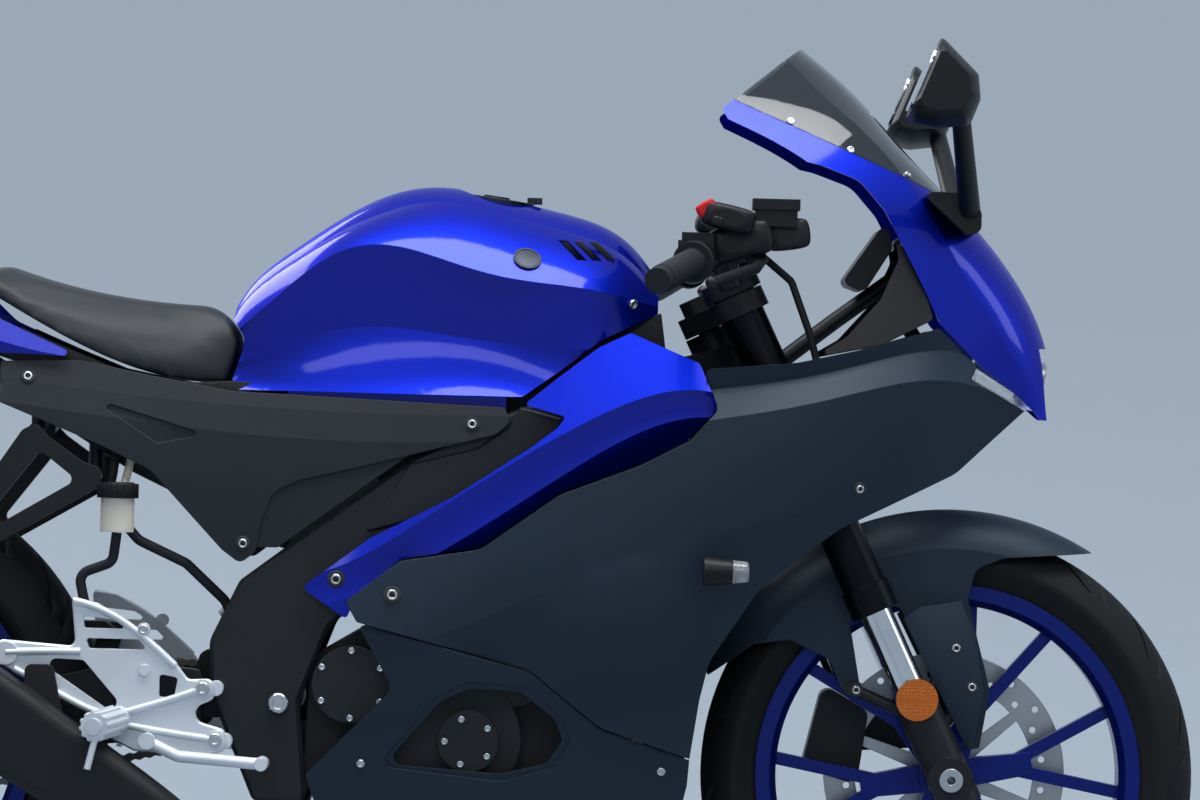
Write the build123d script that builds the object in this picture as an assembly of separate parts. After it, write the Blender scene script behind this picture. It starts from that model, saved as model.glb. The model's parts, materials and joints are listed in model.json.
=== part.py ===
"""Faired single-cylinder sport bike of the 125 cc class, leaning on its side stand.

Millimetres. The bike is laid out upright, with X forward from the front axle, Y to the rider's left
and Z up from the road. At the end every piece leans to the left about the road line, and the origin
moves to the middle of the footprint.
"""

from build123d import *

import os
from math import acos, atan2, cos, degrees, pi, radians, sin, sqrt, tan

# Chassis geometry
wheelbase = 1325.0
caster = 25.5
trail = 94.0
lean = 10.0
fit_gap = 0.3
running_gap = 0.05

# Tyres and wheels
front_radius = 296.0
front_width = 100.0
front_crown = 52.0
rear_radius = 314.0
rear_width = 140.0
rear_crown = 70.0
bead_radius = 218.0
flange_height = 13.0
flange_thickness = 4.5
drum_wall = 12.0
spoke_count = 6
spoke_turn = 9.4
spoke_spread = 13.8
spoke_depth = 20.0
hub_radius = 34.0
axle_radius = 8.0
axle_bore = 5.0
front_hub_half = 56.0
rear_hub_half = 66.0

# Brakes
front_disc_radius = 146.0
rear_disc_radius = 110.0
disc_band = 38.0
disc_thickness = 4.0
front_disc_y = 52.0
rear_disc_y = -82.0
disc_hole_radius = 4.0
disc_hole_count = 20
pad_gap = 5.0

# Final drive
chain_pitch = 12.7
rear_teeth = 48
front_teeth = 14
chain_y = 88.0
chain_width = 16.0
chain_height = 11.0
chain_waist = 2.2
front_sprocket_x = -728.0
front_sprocket_z = 372.0

# Fork and steering
fork_half = 95.0
outer_tube_radius = 26.0
inner_tube_radius = 19.5
outer_tube_low = 218.0
outer_tube_high = 655.0
foot_half = 26.0
foot_high = 98.0
foot_low = -34.0
lower_yoke = 440.0
upper_yoke = 618.0
lower_yoke_thickness = 34.0
upper_yoke_thickness = 24.0
stem_radius = 14.0
head_tube_radius = 31.0
grip_radius = 16.5
bar_radius = 11.0
bar_inner = (-290.0, 118.0, 922.0)
bar_outer = (-366.0, 345.0, 876.0)

# Panels
wall = 4.0
panel_gap = 2.0

# Frame
spar_inner = 112.0
spar_outer = 136.0
spar_edge = 5.0
spar_pad = 5.0
pivot_x = -800.0
pivot_z = 368.0
pivot_bolt_radius = 9.0
arm_inner = 104.0
arm_outer = 128.0

peg_plate_outer = 168.0
pillion_plate_inner = 128.0

# Side stand
stand_pivot = (-790.0, 108.0, 224.0)
stand_foot_x = -712.0
stand_foot_y = 262.0
stand_leg_radius = 10.0
stand_pin_radius = 7.0
stand_boss_half = 11.0
stand_fold_direction = (-0.94, 0.30, -0.02)

# Fuel cap
cap_x = -560.0
cap_radius = 46.0
cap_depth = 12.0
cap_clearance = 1.0

# Vents in the tank's front shoulders
vent_count = 3
vent_x = -484.0
vent_pitch = 18.0
vent_floor = 92.0

# Bolt holes for strangers
plate_hole_radius = 3.3
plate_hole_spacing = 140.0
bobbin_hole_radius = 4.0
bobbin_hole_depth = 20.0

rake = radians(caster)
up_fork = Vector(-sin(rake), 0, cos(rake))
fore_fork = Vector(cos(rake), 0, sin(rake))
front_axle = Vector(0, 0, front_radius)
rear_axle = Vector(-wheelbase, 0, rear_radius)
fork_offset = front_radius * sin(rake) - trail * cos(rake)
lateral = Vector(0, 1, 0)
shock_mount = Vector(-700, 0, 594)


def fork_point(rise, y=0.0):
    """A point on the plane of the fork legs, so far up from the axle."""
    return front_axle + up_fork * rise + lateral * y


def stem_point(rise):
    """A point on the steering axis, level with that height on the fork."""
    return fork_point(rise) - fore_fork * fork_offset


def whole(shape):
    """The one large solid of a shape."""
    return max(shape.solids(), key=lambda one: one.volume)


def mirrored(shape):
    return mirror(shape, about=Plane.XZ)


def both_sides(shape):
    """A right-hand piece with its left-hand twin."""
    return [shape, mirrored(shape)]


def rod(start, end, radius):
    start, end = Vector(start), Vector(end)
    return Solid.make_cylinder(radius, (end - start).length, Plane(start, z_dir=end - start))


def cone(start, end, start_radius, end_radius):
    start, end = Vector(start), Vector(end)
    plane = Plane(start, z_dir=end - start)
    return Solid.make_cone(start_radius, end_radius, (end - start).length, plane)


def side_face(corners):
    """A face in the bike's centre plane; each corner is x, z and an optional rounding."""
    points = [(c[0], 0, c[1]) for c in corners]
    rounds = [c[2] if len(c) > 2 else 0 for c in corners]
    return make_face(FilletPolyline(*points, radius=rounds, close=True))


def prism(corners, low, high):
    """A side outline drawn out across the bike from y = low to y = high."""
    face = side_face(corners)
    return whole(extrude(Pos(0, low, 0) * face, amount=high - low, dir=(0, 1, 0)))


def box(low, high):
    size = [b - a for a, b in zip(low, high)]
    middle = [(a + b) / 2 for a, b in zip(low, high)]
    return whole(Pos(*middle) * Box(*size))


def tube(points, radius, bend):
    """A round tube along straight runs with equal bends."""
    path = FilletPolyline(*points, radius=bend) if len(points) > 2 else Line(*points)
    section = Plane(path @ 0, z_dir=path % 0) * Circle(radius)
    return whole(sweep(section, path=path))


def closed_wire(corners):
    """A closed cross-section through corners (point, bulge); a bulge bows the edge after its corner out."""
    edges = []
    count = len(corners)
    for i in range(count):
        (a, bulge), (b, _) = corners[i], corners[(i + 1) % count]
        a, b = Vector(a), Vector(b)
        if not bulge:
            edges.append(Edge.make_line(a, b))
            continue
        across = Vector(0, b.Z - a.Z, a.Y - b.Y).normalized()
        middle = (a + b) * 0.5 + across * bulge
        edges.append(Edge.make_three_point_arc(a, middle, b))
    return Wire(edges)


def station(x, corners):
    """A cross-section of the right side at x; each corner is distance out, height and bulge."""
    return closed_wire([((x, -c[0], c[1]), c[2] if len(c) > 2 else 0) for c in corners])


def skin(stations, outline, thickness, bosses=()):
    """A panel: the lofted hull less the same hull moved inwards, inside a side outline.

    Each boss is x, height, the distance out of its inner end, and its radius.
    """
    hull = Solid.make_loft([station(x, corners) for x, corners in stations])
    shell = hull - hull.moved(Location((0, thickness, 0)))
    panel = whole(shell & outline)
    for x, z, reach, radius in bosses:
        panel = panel.fuse(whole(rod((x, -400, z), (x, -reach, z), radius) & hull))
    return whole(panel)


def spread(corners, amount):
    """A side outline with every corner moved away from its middle."""
    middle = Vector(sum(c[0] for c in corners) / len(corners), sum(c[1] for c in corners) / len(corners))
    moved = []
    for x, z, rounding in corners:
        out = Vector(x, z) - middle
        place = middle + out * (1 + amount / out.length)
        moved.append((place.X, place.Y, rounding))
    return moved


def softened(solid, amount):
    """A right-hand piece with the edges of its outermost flat face broken."""
    face = solid.faces().sort_by(Axis.Y)[0]
    return whole(solid.chamfer(amount, None, face.edges()))


def around(axle, solid, angle):
    """A solid turned about a wheel's axle."""
    return solid.rotate(Axis(axle, lateral), angle)


# Wheels


def make_tyre(axle, radius, width, crown):
    half = width / 2
    shoulder = radius - crown + sqrt(crown**2 - half**2)
    bead_half = half * 0.72
    bead = bead_radius + fit_gap
    lip = bead_radius + flange_height + 2

    def at(y, r):
        return axle + Vector(0, y, r)

    profile = [
        Edge.make_line(at(bead_half, bead), at(bead_half, lip)),
        Edge.make_line(at(bead_half, lip), at(half, shoulder)),
        Edge.make_three_point_arc(at(half, shoulder), at(0, radius), at(-half, shoulder)),
        Edge.make_line(at(-half, shoulder), at(-bead_half, lip)),
        Edge.make_line(at(-bead_half, lip), at(-bead_half, bead)),
        Edge.make_line(at(-bead_half, bead), at(bead_half, bead)),
    ]
    return whole(revolve(make_face(Wire(profile)), axis=Axis(axle, lateral)))


def make_rim(axle, width, hub_half):
    """Drum, hub and forked spokes, cast as one wheel."""
    seat = width / 2 * 0.72 + fit_gap
    edge = seat + flange_thickness
    top = bead_radius + flange_height
    inner = bead_radius - drum_wall
    drum_profile = [
        (-edge, top), (-seat, top), (-seat, bead_radius), (seat, bead_radius), (seat, top), (edge, top),
        (edge, bead_radius - 4), (seat - 8, inner), (-seat + 8, inner), (-edge, bead_radius - 4),
    ]
    points = [axle + Vector(0, y, r) for y, r in drum_profile]
    drum = whole(revolve(make_face(Polyline(*points, close=True)), axis=Axis(axle, lateral)))
    hub = rod(axle - lateral * hub_half, axle + lateral * hub_half, hub_radius)
    fork_at = 96.0
    stem_half, arm_half = 13.0, 7.5
    rim_reach = inner + 4
    spread = radians(spoke_spread)
    stem = [(hub_radius - 6, -stem_half - 4), (fork_at + 8, -stem_half), (fork_at + 8, stem_half),
            (hub_radius - 6, stem_half + 4)]
    tip = Vector(rim_reach * cos(spread), rim_reach * sin(spread))
    root = Vector(fork_at - 14, 5)
    along = (tip - root).normalized()
    side = Vector(-along.Y, along.X)
    arm = [root - side * arm_half, tip - side * arm_half, tip + side * arm_half, root + side * arm_half]
    arm = [(p.X, p.Y) for p in arm]
    opposite = [(x, -y) for x, y in reversed(arm)]
    pieces = []
    for corners, depth in ((stem, spoke_depth + 6), (arm, spoke_depth), (opposite, spoke_depth)):
        shifted = [(axle.X + x, axle.Z + y) for x, y in corners]
        pieces.append(prism(shifted, -depth / 2, depth / 2))
    forked = pieces[0].fuse(*pieces[1:])
    spokes = [around(axle, forked, -spoke_turn - i * 360 / spoke_count) for i in range(spoke_count)]
    wheel = drum.fuse(hub, *spokes)
    bore = rod(axle - lateral * 2 * hub_half, axle + lateral * 2 * hub_half, axle_radius + running_gap)
    return whole(wheel - bore)


def make_disc(axle, radius, y, hub_half):
    """Drilled brake disc on a spider that seats on the hub's end."""
    side = 1 if y > 0 else -1
    low, high = y - disc_thickness / 2, y + disc_thickness / 2
    middle = Vector(axle.X, 0, axle.Z)

    def ring(outer, inner, start, end):
        plate = rod(middle + lateral * start, middle + lateral * end, outer)
        return plate - rod(middle + lateral * (start - 1), middle + lateral * (end + 1), inner)

    band = whole(ring(radius, radius - disc_band, low, high))
    for row, inset in enumerate((0.3, 0.7)):
        for i in range(disc_hole_count):
            angle = 2 * pi * (i + row / 2) / disc_hole_count
            r = radius - disc_band * inset
            place = middle + Vector(r * cos(angle), 0, r * sin(angle))
            band = band - rod(place + lateral * (low - 1), place + lateral * (high + 1), disc_hole_radius)
    arm = prism([(axle.X + hub_radius, axle.Z - 9), (axle.X + radius - disc_band + 6, axle.Z - 6),
                 (axle.X + radius - disc_band + 6, axle.Z + 6), (axle.X + hub_radius, axle.Z + 9)], low, high)
    arms = [around(axle, arm, 60 * i + 20) for i in range(6)]
    collar = ring(hub_radius + 10, hub_radius + fit_gap, low, high)
    if abs(y) > hub_half:
        near = side * (hub_half - 6)
        collar = ring(hub_radius + 10, hub_radius + fit_gap, min(near, low), max(near, high))
    return whole(band.fuse(whole(collar), *arms))


def make_sprocket():
    """Toothed ring on its carrier, short of the chain's rollers."""
    pitch_radius = chain_pitch / 2 / sin(pi / rear_teeth)
    tip, root = pitch_radius - chain_height / 2 - 1.5, pitch_radius - chain_height / 2 - 8
    outline = []
    for i in range(rear_teeth):
        for r, share in ((root, 0.0), (root, 0.3), (tip, 0.55), (tip, 0.75)):
            angle = 2 * pi * (i + share) / rear_teeth
            outline.append((rear_axle.X + r * cos(angle), rear_axle.Z + r * sin(angle)))
    plate = prism(outline, chain_y - 3, chain_y + 3)
    bolt_circle, window = 62.0, 12.0
    for i in range(5):
        angle = 2 * pi * i / 5
        place = rear_axle + Vector(bolt_circle * cos(angle), 0, bolt_circle * sin(angle))
        plate = plate - rod(place, place + lateral * 2 * chain_y, window)
    carrier = rod(rear_axle + lateral * (rear_hub_half - 14), rear_axle + lateral * (chain_y + 6),
                  hub_radius + 12)
    carrier = carrier - rod(rear_axle, rear_axle + lateral * 2 * chain_y, hub_radius + fit_gap)
    return whole(plate.fuse(whole(carrier)) - rod(rear_axle, rear_axle + lateral * 200, hub_radius + fit_gap))


def make_axle(axle, half):
    shaft = rod(axle - lateral * half, axle + lateral * half, axle_radius)
    for side in (-1, 1):
        shaft = shaft.fuse(rod(axle + lateral * side * (half - 8), axle + lateral * side * half,
                               axle_radius + 6))
    bore = rod(axle - lateral * 2 * half, axle + lateral * 2 * half, axle_bore)
    return whole(shaft - bore)


# Fork, bars and what turns with them


def make_fork_outer():
    legs = []
    for y in (-fork_half, fork_half):
        leg = rod(fork_point(outer_tube_low, y), fork_point(outer_tube_high, y), outer_tube_radius)
        collar = rod(fork_point(outer_tube_low, y), fork_point(outer_tube_low + 34, y), outer_tube_radius + 3)
        cap = rod(fork_point(outer_tube_high, y), fork_point(outer_tube_high + 8, y), outer_tube_radius - 7)
        bore = rod(fork_point(outer_tube_low - 1, y), fork_point(outer_tube_low + 90, y),
                   inner_tube_radius + running_gap)
        legs.append(whole(leg.fuse(collar, cap) - bore))
    return legs


def make_fork_inner():
    return [rod(fork_point(foot_high - 30, y), fork_point(outer_tube_low + 85, y), inner_tube_radius)
            for y in (-fork_half, fork_half)]


# x and height of the bolts that hold the fender, and where each one's arm leaves the fork foot
fender_bolts = [(4, 452, 88), (24, 406, 50), (-119, 400, 76)]


def make_fork_feet():
    """Axle carriers with the fender's arms, and the caliper on the left one."""
    caliper_x, caliper_z = -128.0, front_radius + 42
    outline = [(caliper_x - 46, caliper_z - 40, 12), (caliper_x + 22, caliper_z - 58, 12),
               (caliper_x + 34, caliper_z + 30, 12), (caliper_x - 22, caliper_z + 62, 12)]
    caliper = prism(outline, front_disc_y - 26, front_disc_y + 30)
    slot_half = disc_thickness / 2 + pad_gap
    slot = rod(front_axle + lateral * (front_disc_y - slot_half),
               front_axle + lateral * (front_disc_y + slot_half),
               front_disc_radius + pad_gap)
    bracket = prism([(caliper_x + 10, caliper_z - 20), (-10, front_radius + 30), (-40, front_radius + 90),
                     (caliper_x + 10, caliper_z + 30)], front_disc_y + 16, fork_half - 14)
    caliper = whole((caliper - slot).fuse(bracket))
    y, arm_y = fork_half, fender_half + 20
    foot = rod(fork_point(foot_low, y), fork_point(foot_high, y), outer_tube_radius)
    foot = foot.fuse(rod(fork_point(0, y - foot_half), fork_point(0, y + foot_half), 27))
    for x, z, rise in fender_bolts:
        bolt = Vector(x, arm_y, z)
        foot = foot.fuse(rod(fork_point(rise, arm_y), bolt, 7))
        foot = foot.fuse(rod(bolt + lateral * 7, (x, fender_half + fit_gap, z), 8))
    socket = rod(fork_point(foot_high - 32, y), fork_point(foot_high + 90, y),
                 inner_tube_radius + running_gap)
    hole = rod(fork_point(0, y - 90), fork_point(0, y + 60), axle_radius + running_gap)
    hub_room = rod((0, 20, front_radius), (0, front_hub_half + 6, front_radius), hub_radius + 16)
    left = whole(foot.fuse(caliper) - socket - hole - hub_room)
    right = mirrored(whole(foot - socket - hole))
    return [right, left]


def make_triple_clamps():
    clamps = []
    for rise, thickness in ((lower_yoke, lower_yoke_thickness), (upper_yoke, upper_yoke_thickness)):
        base, top = fork_point(rise - thickness / 2), fork_point(rise + thickness / 2)
        plane = Plane(base, x_dir=fore_fork, z_dir=up_fork)
        ring = outer_tube_radius + 8
        web = [(-fork_offset - 30, -34), (-fork_offset - 30, 34), (-12, fork_half), (26, fork_half - 12),
               (8, 30), (8, -30), (26, -fork_half + 12), (-12, -fork_half)]
        plate = whole(extrude(plane * make_face(Polyline(*web, close=True)), amount=thickness, dir=up_fork))
        for y in (-fork_half, fork_half):
            plate = plate.fuse(rod(base + lateral * y, top + lateral * y, ring))
        for y in (-fork_half, fork_half):
            plate = plate - rod(base + lateral * y - up_fork, top + lateral * y + up_fork,
                                outer_tube_radius + running_gap)
        clamps.append(whole(plate))
    stem = rod(stem_point(lower_yoke - 10), stem_point(upper_yoke + 30), stem_radius)
    nut = rod(stem_point(upper_yoke + upper_yoke_thickness / 2), stem_point(upper_yoke + 30), stem_radius + 7)
    return whole(clamps[0].fuse(clamps[1], stem, nut))


def bar_line(share, side):
    """A point on a clip-on bar's axis: share 0 at its inner end and 1 at its tip."""
    inner = Vector(bar_inner[0], side * bar_inner[1], bar_inner[2])
    outer = Vector(bar_outer[0], side * bar_outer[1], bar_outer[2])
    return inner + (outer - inner) * share


clip_low, clip_high = upper_yoke + 14.0, upper_yoke + 34.0
clip_rise = (clip_low + clip_high) / 2


def make_clip_ons():
    bars = []
    for side in (-1, 1):
        y = side * fork_half
        ring = rod(fork_point(clip_low, y), fork_point(clip_high, y), outer_tube_radius + 9)
        post = rod(fork_point(clip_rise, y + side * 30), bar_line(0.06, side), bar_radius + 3)
        bar = rod(bar_line(-0.02, side), bar_line(0.96, side), bar_radius)
        bore = rod(fork_point(clip_low - 60, y), fork_point(clip_high + 60, y),
                   outer_tube_radius + running_gap)
        bars.append(whole(ring.fuse(post, bar) - bore))
    return bars


def make_grips():
    grips = []
    for side in (-1, 1):
        sleeve = rod(bar_line(0.44, side), bar_line(0.93, side), grip_radius)
        flange = rod(bar_line(0.42, side), bar_line(0.45, side), grip_radius + 8)
        weight = rod(bar_line(0.93, side), bar_line(1.0, side), grip_radius - 1)
        bore = rod(bar_line(0.3, side), bar_line(0.96, side), bar_radius + running_gap)
        grips.append(whole(sleeve.fuse(flange, weight) - bore))
    return grips


perch_reach = 56.0


def make_bar_controls():
    """Switch pods on both bars, and the front brake's master cylinder on the right one."""
    controls = []
    for side in (-1, 1):
        pod = rod(bar_line(0.27, side), bar_line(0.41, side), grip_radius + 5)
        hump = box(bar_line(0.33, side) - Vector(22, 12, 4), bar_line(0.33, side) + Vector(16, 12, 30))
        pod = pod.fuse(hump)
        clamp = rod(bar_line(0.14, side), bar_line(0.21, side), bar_radius + 8)
        perch = rod(bar_line(0.175, side), bar_line(0.175, side) + Vector(perch_reach, 0, -4), 9)
        clamp = clamp.fuse(perch)
        if side < 0:
            cylinder = rod(bar_line(0.05, side) + Vector(40, 0, 4),
                           bar_line(0.3, side) + Vector(40, 0, 4), 12)
            seat = bar_line(0.12, side)
            neck = box(seat + Vector(38, -16, 8), seat + Vector(62, 12, 36))
            cup = box(seat + Vector(48, -30, 30), seat + Vector(98, 26, 50))
            lid = box(seat + Vector(45, -33, 50), seat + Vector(101, 29, 63))
            clamp = clamp.fuse(cylinder, neck, cup, lid)
        joined = pod.fuse(clamp, rod(bar_line(0.16, side), bar_line(0.34, side), bar_radius + 3))
        bore = rod(bar_line(-0.3, side), bar_line(1.2, side), bar_radius + running_gap)
        controls.append(whole(joined - bore))
    return controls


def make_hand_levers():
    levers = []
    for side in (-1, 1):
        pivot = bar_line(0.175, side) + Vector(perch_reach + 7.6, 0, -5)
        knee = bar_line(0.34, side) + Vector(66, side * 6, -10)
        tip = bar_line(0.86, side) + Vector(52, side * 4, -6)
        blade = cone(pivot, knee, 6, 7).fuse(cone(knee, tip, 7, 5.5), Pos(*tip) * Solid.make_sphere(7))
        levers.append(whole(blade.fuse(Pos(*knee) * Solid.make_sphere(7))))
    return levers


fender_radius = front_radius + 24
fender_half = 62.0


def make_front_fender():
    """A saddle swept about the front axle, trimmed to its side outline with the two legs."""
    shoulder = fender_radius - 46

    def saddle(inset):
        half, top, low = fender_half - inset, fender_radius - inset, 30.0
        at = [front_axle + Vector(0, y, r) for y, r in
              ((half, low), (half, shoulder), (0, top), (-half, shoulder), (-half, low))]
        profile = [Edge.make_line(at[0], at[1]), Edge.make_three_point_arc(at[1], at[2], at[3]),
                   Edge.make_line(at[3], at[4]), Edge.make_line(at[4], at[0])]
        return whole(revolve(make_face(Wire(profile)), axis=Axis(front_axle, lateral)))

    z = front_radius
    outline = [(-299, z + 124), (-290, z + 114), (-236, z + 154, 20), (-194, z + 160, 20),
               (-146, z + 138, 20),
               (-128, z + 96, 6), (-106, z + 92, 6), (-124, z + 190, 10), (-64, z + 204, 10), (24, z + 34, 4),
               (36, z + 36, 4), (47, z + 106, 20), (18, z + 213, 16), (26, z + 250, 16), (60, z + 264, 16),
               (172, z + 272), (180, z + 282), (100, z + 360), (-60, z + 380), (-250, z + 280),
               (-330, z + 140)]
    trimmed = (saddle(0) - saddle(3.5)) & prism(outline, -200, 200)
    return whole(trimmed)


def make_reflectors():
    """Round amber reflectors on the fork legs."""
    discs = []
    for side in (-1, 1):
        middle = fork_point(104, side * (fork_half + outer_tube_radius)) + fore_fork * 2
        discs.append(rod(middle + lateral * side * fit_gap, middle + lateral * side * 9, 25))
    return discs


# Frame and running gear


def make_main_frame():
    """Two pressed spars that spread from the steering head down to the swingarm pivot, each with its pad."""
    outline = [(-420, 768), (-526, 724, 6), (-646, 664, 30), (-799, 551, 12), (-850, 512, 20),
               (-884, 440, 30),
               (-882, 378, 30), (-828, 250, 12), (-764, 250, 12), (-776, 371, 20), (-742, 461, 30),
               (-640, 540, 30),
               (-420, 672)]
    spar = softened(prism(outline, -spar_outer, -spar_inner), spar_edge)
    pad_outline = [(-522, 726, 3), (-471, 713, 4), (-490, 676, 10), (-556, 627, 20), (-608, 600, 20),
                   (-704, 572, 3),
                   (-652, 655, 4), (-574, 675, 10), (-538, 700, 6)]
    pad = softened(prism(pad_outline, -spar_outer - spar_pad, -spar_outer + 1), 2)
    root = station(-420, [(spar_inner, 672), (spar_outer, 672), (spar_outer, 768), (spar_inner, 768)])
    tip = station(-272, [(14, 704), (44, 704), (44, 806), (14, 806)])
    neck = Solid.make_loft([root, tip], ruled=True)
    rear_tab = prism([(-800, 520), (-784, 600, 8), (-704, 654, 8), (-660, 600)], -spar_inner - 16,
                     -spar_inner)
    side = spar.fuse(pad, neck, rear_tab)
    head = rod(stem_point(lower_yoke + lower_yoke_thickness / 2 + 1.5),
               stem_point(upper_yoke - upper_yoke_thickness / 2 - 1.5), head_tube_radius)
    pivot = rod((pivot_x, -spar_outer - 6, pivot_z), (pivot_x, spar_outer + 6, pivot_z), pivot_bolt_radius)
    cross = rod(shock_mount - lateral * (spar_inner + 4), shock_mount + lateral * (spar_inner + 4), 16)
    axis, middle = stand_axis(), Vector(*stand_pivot)
    stand_lug = rod(middle + axis * (stand_boss_half + fit_gap), middle + axis * 40, 16)
    stand_pin = rod(middle - axis * (stand_boss_half + 4), middle + axis * 20, stand_pin_radius)
    frame = side.fuse(mirrored(side), head, pivot, cross, stand_lug, stand_pin)
    bore = rod(stem_point(lower_yoke - 60), stem_point(upper_yoke + 60), stem_radius + running_gap)
    return whole(frame - bore)


# x, half-width and height of the upper rail's bends
upper_rail = [(-702, 92, 676), (-900, 92, 704), (-1180, 76, 794), (-1430, 60, 848)]
lower_rail = [(-800, 92, 562), (-980, 92, 646), (-1240, 72, 808)]
tail_cross = (-1400.0, 842.0)


def make_subframe():
    """Seat rails behind the spars, with cross tubes and the rests under both seats."""
    pieces = []
    for side in (-1, 1):
        for rail, radius in ((upper_rail, 12), (lower_rail, 10)):
            pieces.append(tube([(x, side * y, z) for x, y, z in rail], radius, 60))
        pieces.append(rod((-702, side * 92, 684), (-702, side * 92, 632), 11))
        for x, z in ((-702, 636), (-800, 562)):
            pieces.append(rod((x, side * 84, z), (x, side * (spar_inner - fit_gap), z), 11))
        pieces.append(rod((-1330, side * 64, 826), (-1330, side * 60, 886), 8))
        pieces.append(rod((-960, side * 88, 722), (-960, side * 88, 740), 8))
    pieces.append(rod((tail_cross[0], -64, tail_cross[1]), (tail_cross[0], 64, tail_cross[1]), 9))
    pieces.append(rod((-720, -92, 680), (-720, 92, 680), 9))
    for y in (-60, 60):
        pieces.append(rod((-720, y, 680), (-720, y, tank_low - fit_gap), 10))
    for side in (-1, 1):
        for x, y, rail_z, lug_z in ((-1098, 83, 719, 684), (-1028, 88, 676, 632)):
            pieces.append(rod((x, side * y, rail_z), (x, side * y, lug_z), 8))
            pieces.append(rod((x, side * (y - 6), lug_z),
                              (x, side * (pillion_plate_inner - fit_gap), lug_z), 8))
    pieces.append(rod((-960, -92, 741 - fit_gap), (-960, 92, 741 - fit_gap), 9))
    return whole(pieces[0].fuse(*pieces[1:]))


def make_swingarm():
    """Two tapering arms joined behind the pivot, with axle plates, the rear caliper and the chain guard."""
    outline = [(-892, 330, 10), (-892, 404, 10), (-980, 412, 40), (-1180, 366, 40), (-1352, 346, 14),
               (-1366, 300, 14),
               (-1300, 284, 14), (-1150, 300, 40), (-960, 318, 40)]
    arm = prism(outline, -arm_outer, -arm_inner)
    brace = prism([(-800, 350, 4), (-800, 386, 4), (-962, 386, 14), (-972, 344, 14)], -arm_inner - 4,
                  arm_inner + 4)
    brace = brace - box((-990, -60, 300), (-930, 60, 440))
    collar = rod((pivot_x, -arm_inner - 4, pivot_z), (pivot_x, arm_inner + 4, pivot_z), 22)
    shock_lugs = [prism([(-912, 380), (-856, 380), (-868, 424, 12), (-900, 424, 12)], low, low + 10)
                  for low in (-24.3, 14.3)]
    guard = prism([(-1004, 438), (-1024, 452, 8), (-1330, 448, 30), (-1404, 424), (-1404, 416),
                   (-1332, 438, 30),
                   (-1030, 442)], chain_y - 12, arm_inner + 12)
    guard = guard.fuse(prism([(-1020, 380), (-1000, 450), (-1030, 450), (-1050, 380)], arm_inner + 2,
                             arm_inner + 12))
    caliper = prism([(-1260, 366, 8), (-1200, 372, 8), (-1196, 424, 12), (-1262, 418, 12)],
                    rear_disc_y - 24, rear_disc_y + 22)
    slot_half = disc_thickness / 2 + pad_gap
    slot = rod(rear_axle + lateral * (rear_disc_y - slot_half),
               rear_axle + lateral * (rear_disc_y + slot_half),
               rear_disc_radius + pad_gap)
    caliper = whole(caliper - slot)
    swingarm = arm.fuse(mirrored(arm), brace, collar, guard, caliper, *shock_lugs)
    swingarm = swingarm - rod((pivot_x, -300, pivot_z), (pivot_x, 300, pivot_z),
                              pivot_bolt_radius + running_gap)
    swingarm = swingarm - rod(rear_axle - lateral * 300, rear_axle + lateral * 300, axle_radius + running_gap)
    for side in (-1, 1):
        mouth = Vector(*bobbin_hole(side))
        swingarm = swingarm - rod(mouth + lateral * side, mouth - lateral * side * bobbin_hole_depth,
                                  bobbin_hole_radius)
    return whole(swingarm)


def bobbin_hole(side):
    """The mouth of a paddock-stand hole on an arm's outer face."""
    return (-1240.0, side * arm_outer, 324.0)


def make_rear_shock():
    """Damper and coil, from the frame's cross tube to the swingarm's brace."""
    foot = Vector(-884, 0, 408)
    along = (foot - shock_mount).normalized()
    top = shock_mount + along * (16 + fit_gap)
    body = rod(top, foot, 13)
    body = body.fuse(rod(foot - lateral * 14, foot + lateral * 14, 14))
    coils = []
    turns, pitch, wire = 8, 19.0, 7.0
    for i in range(turns):
        plane = Plane(top + along * (40 + i * pitch), z_dir=along)
        coils.append(Solid.make_torus(34, wire, plane))
    seats = [rod(top + along * 26, top + along * 36, 42),
             rod(top + along * (40 + turns * pitch), top + along * (48 + turns * pitch), 42)]
    webs = rod(top + along * 30, top + along * (42 + turns * pitch), 30)
    return whole(body.fuse(webs, *seats, *coils))


def make_engine():
    """Crankcase, forward-leaning cylinder and head as one mass, with the round covers on both sides."""
    case = prism([(-455, 250, 20), (-440, 330, 30), (-470, 420, 30), (-600, 470, 20), (-700, 460, 20),
                  (-765, 420, 20), (-770, 300, 20), (-720, 215, 30), (-520, 205, 30)], -104, 104)
    barrel = prism([(-600, 440), (-470, 400), (-420, 560), (-550, 600)], -72, 72)
    head = prism([(-552, 596, 10), (-416, 556, 10), (-392, 632, 14), (-530, 676, 14)], -84, 84)
    covers = []
    for x, z, radius, proud in ((-715, 392, 46, 36), (-590, 330, 78, 28), (-574, 328, 36, 46),
                                (-520, 400, 30, 24)):
        covers.append(rod((x, -100, z), (x, -104 - proud, z), radius))
    for x, z, radius, proud in ((-580, 330, 84, 34), (-728, 372, 40, 14), (-640, 400, 34, 28)):
        covers.append(rod((x, 100, z), (x, 104 + proud, z), radius))
    lugs = [rod((x, -spar_inner + fit_gap, z), (x, spar_inner - fit_gap, z), 14)
            for x, z in ((-762, 440), (-770, 290), (-560, 612))]
    chain_room = box((-800, chain_y - 11, 326), (-684, chain_y + 11, 422))
    pitch_radius = chain_pitch / 2 / sin(pi / front_teeth)
    sprocket = rod((front_sprocket_x, chain_y - 20, front_sprocket_z),
                   (front_sprocket_x, chain_y + 5, front_sprocket_z),
                   pitch_radius - chain_height / 2 - fit_gap)
    return whole((case.fuse(barrel, head, *covers, *lugs) - chain_room).fuse(sprocket))


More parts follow.
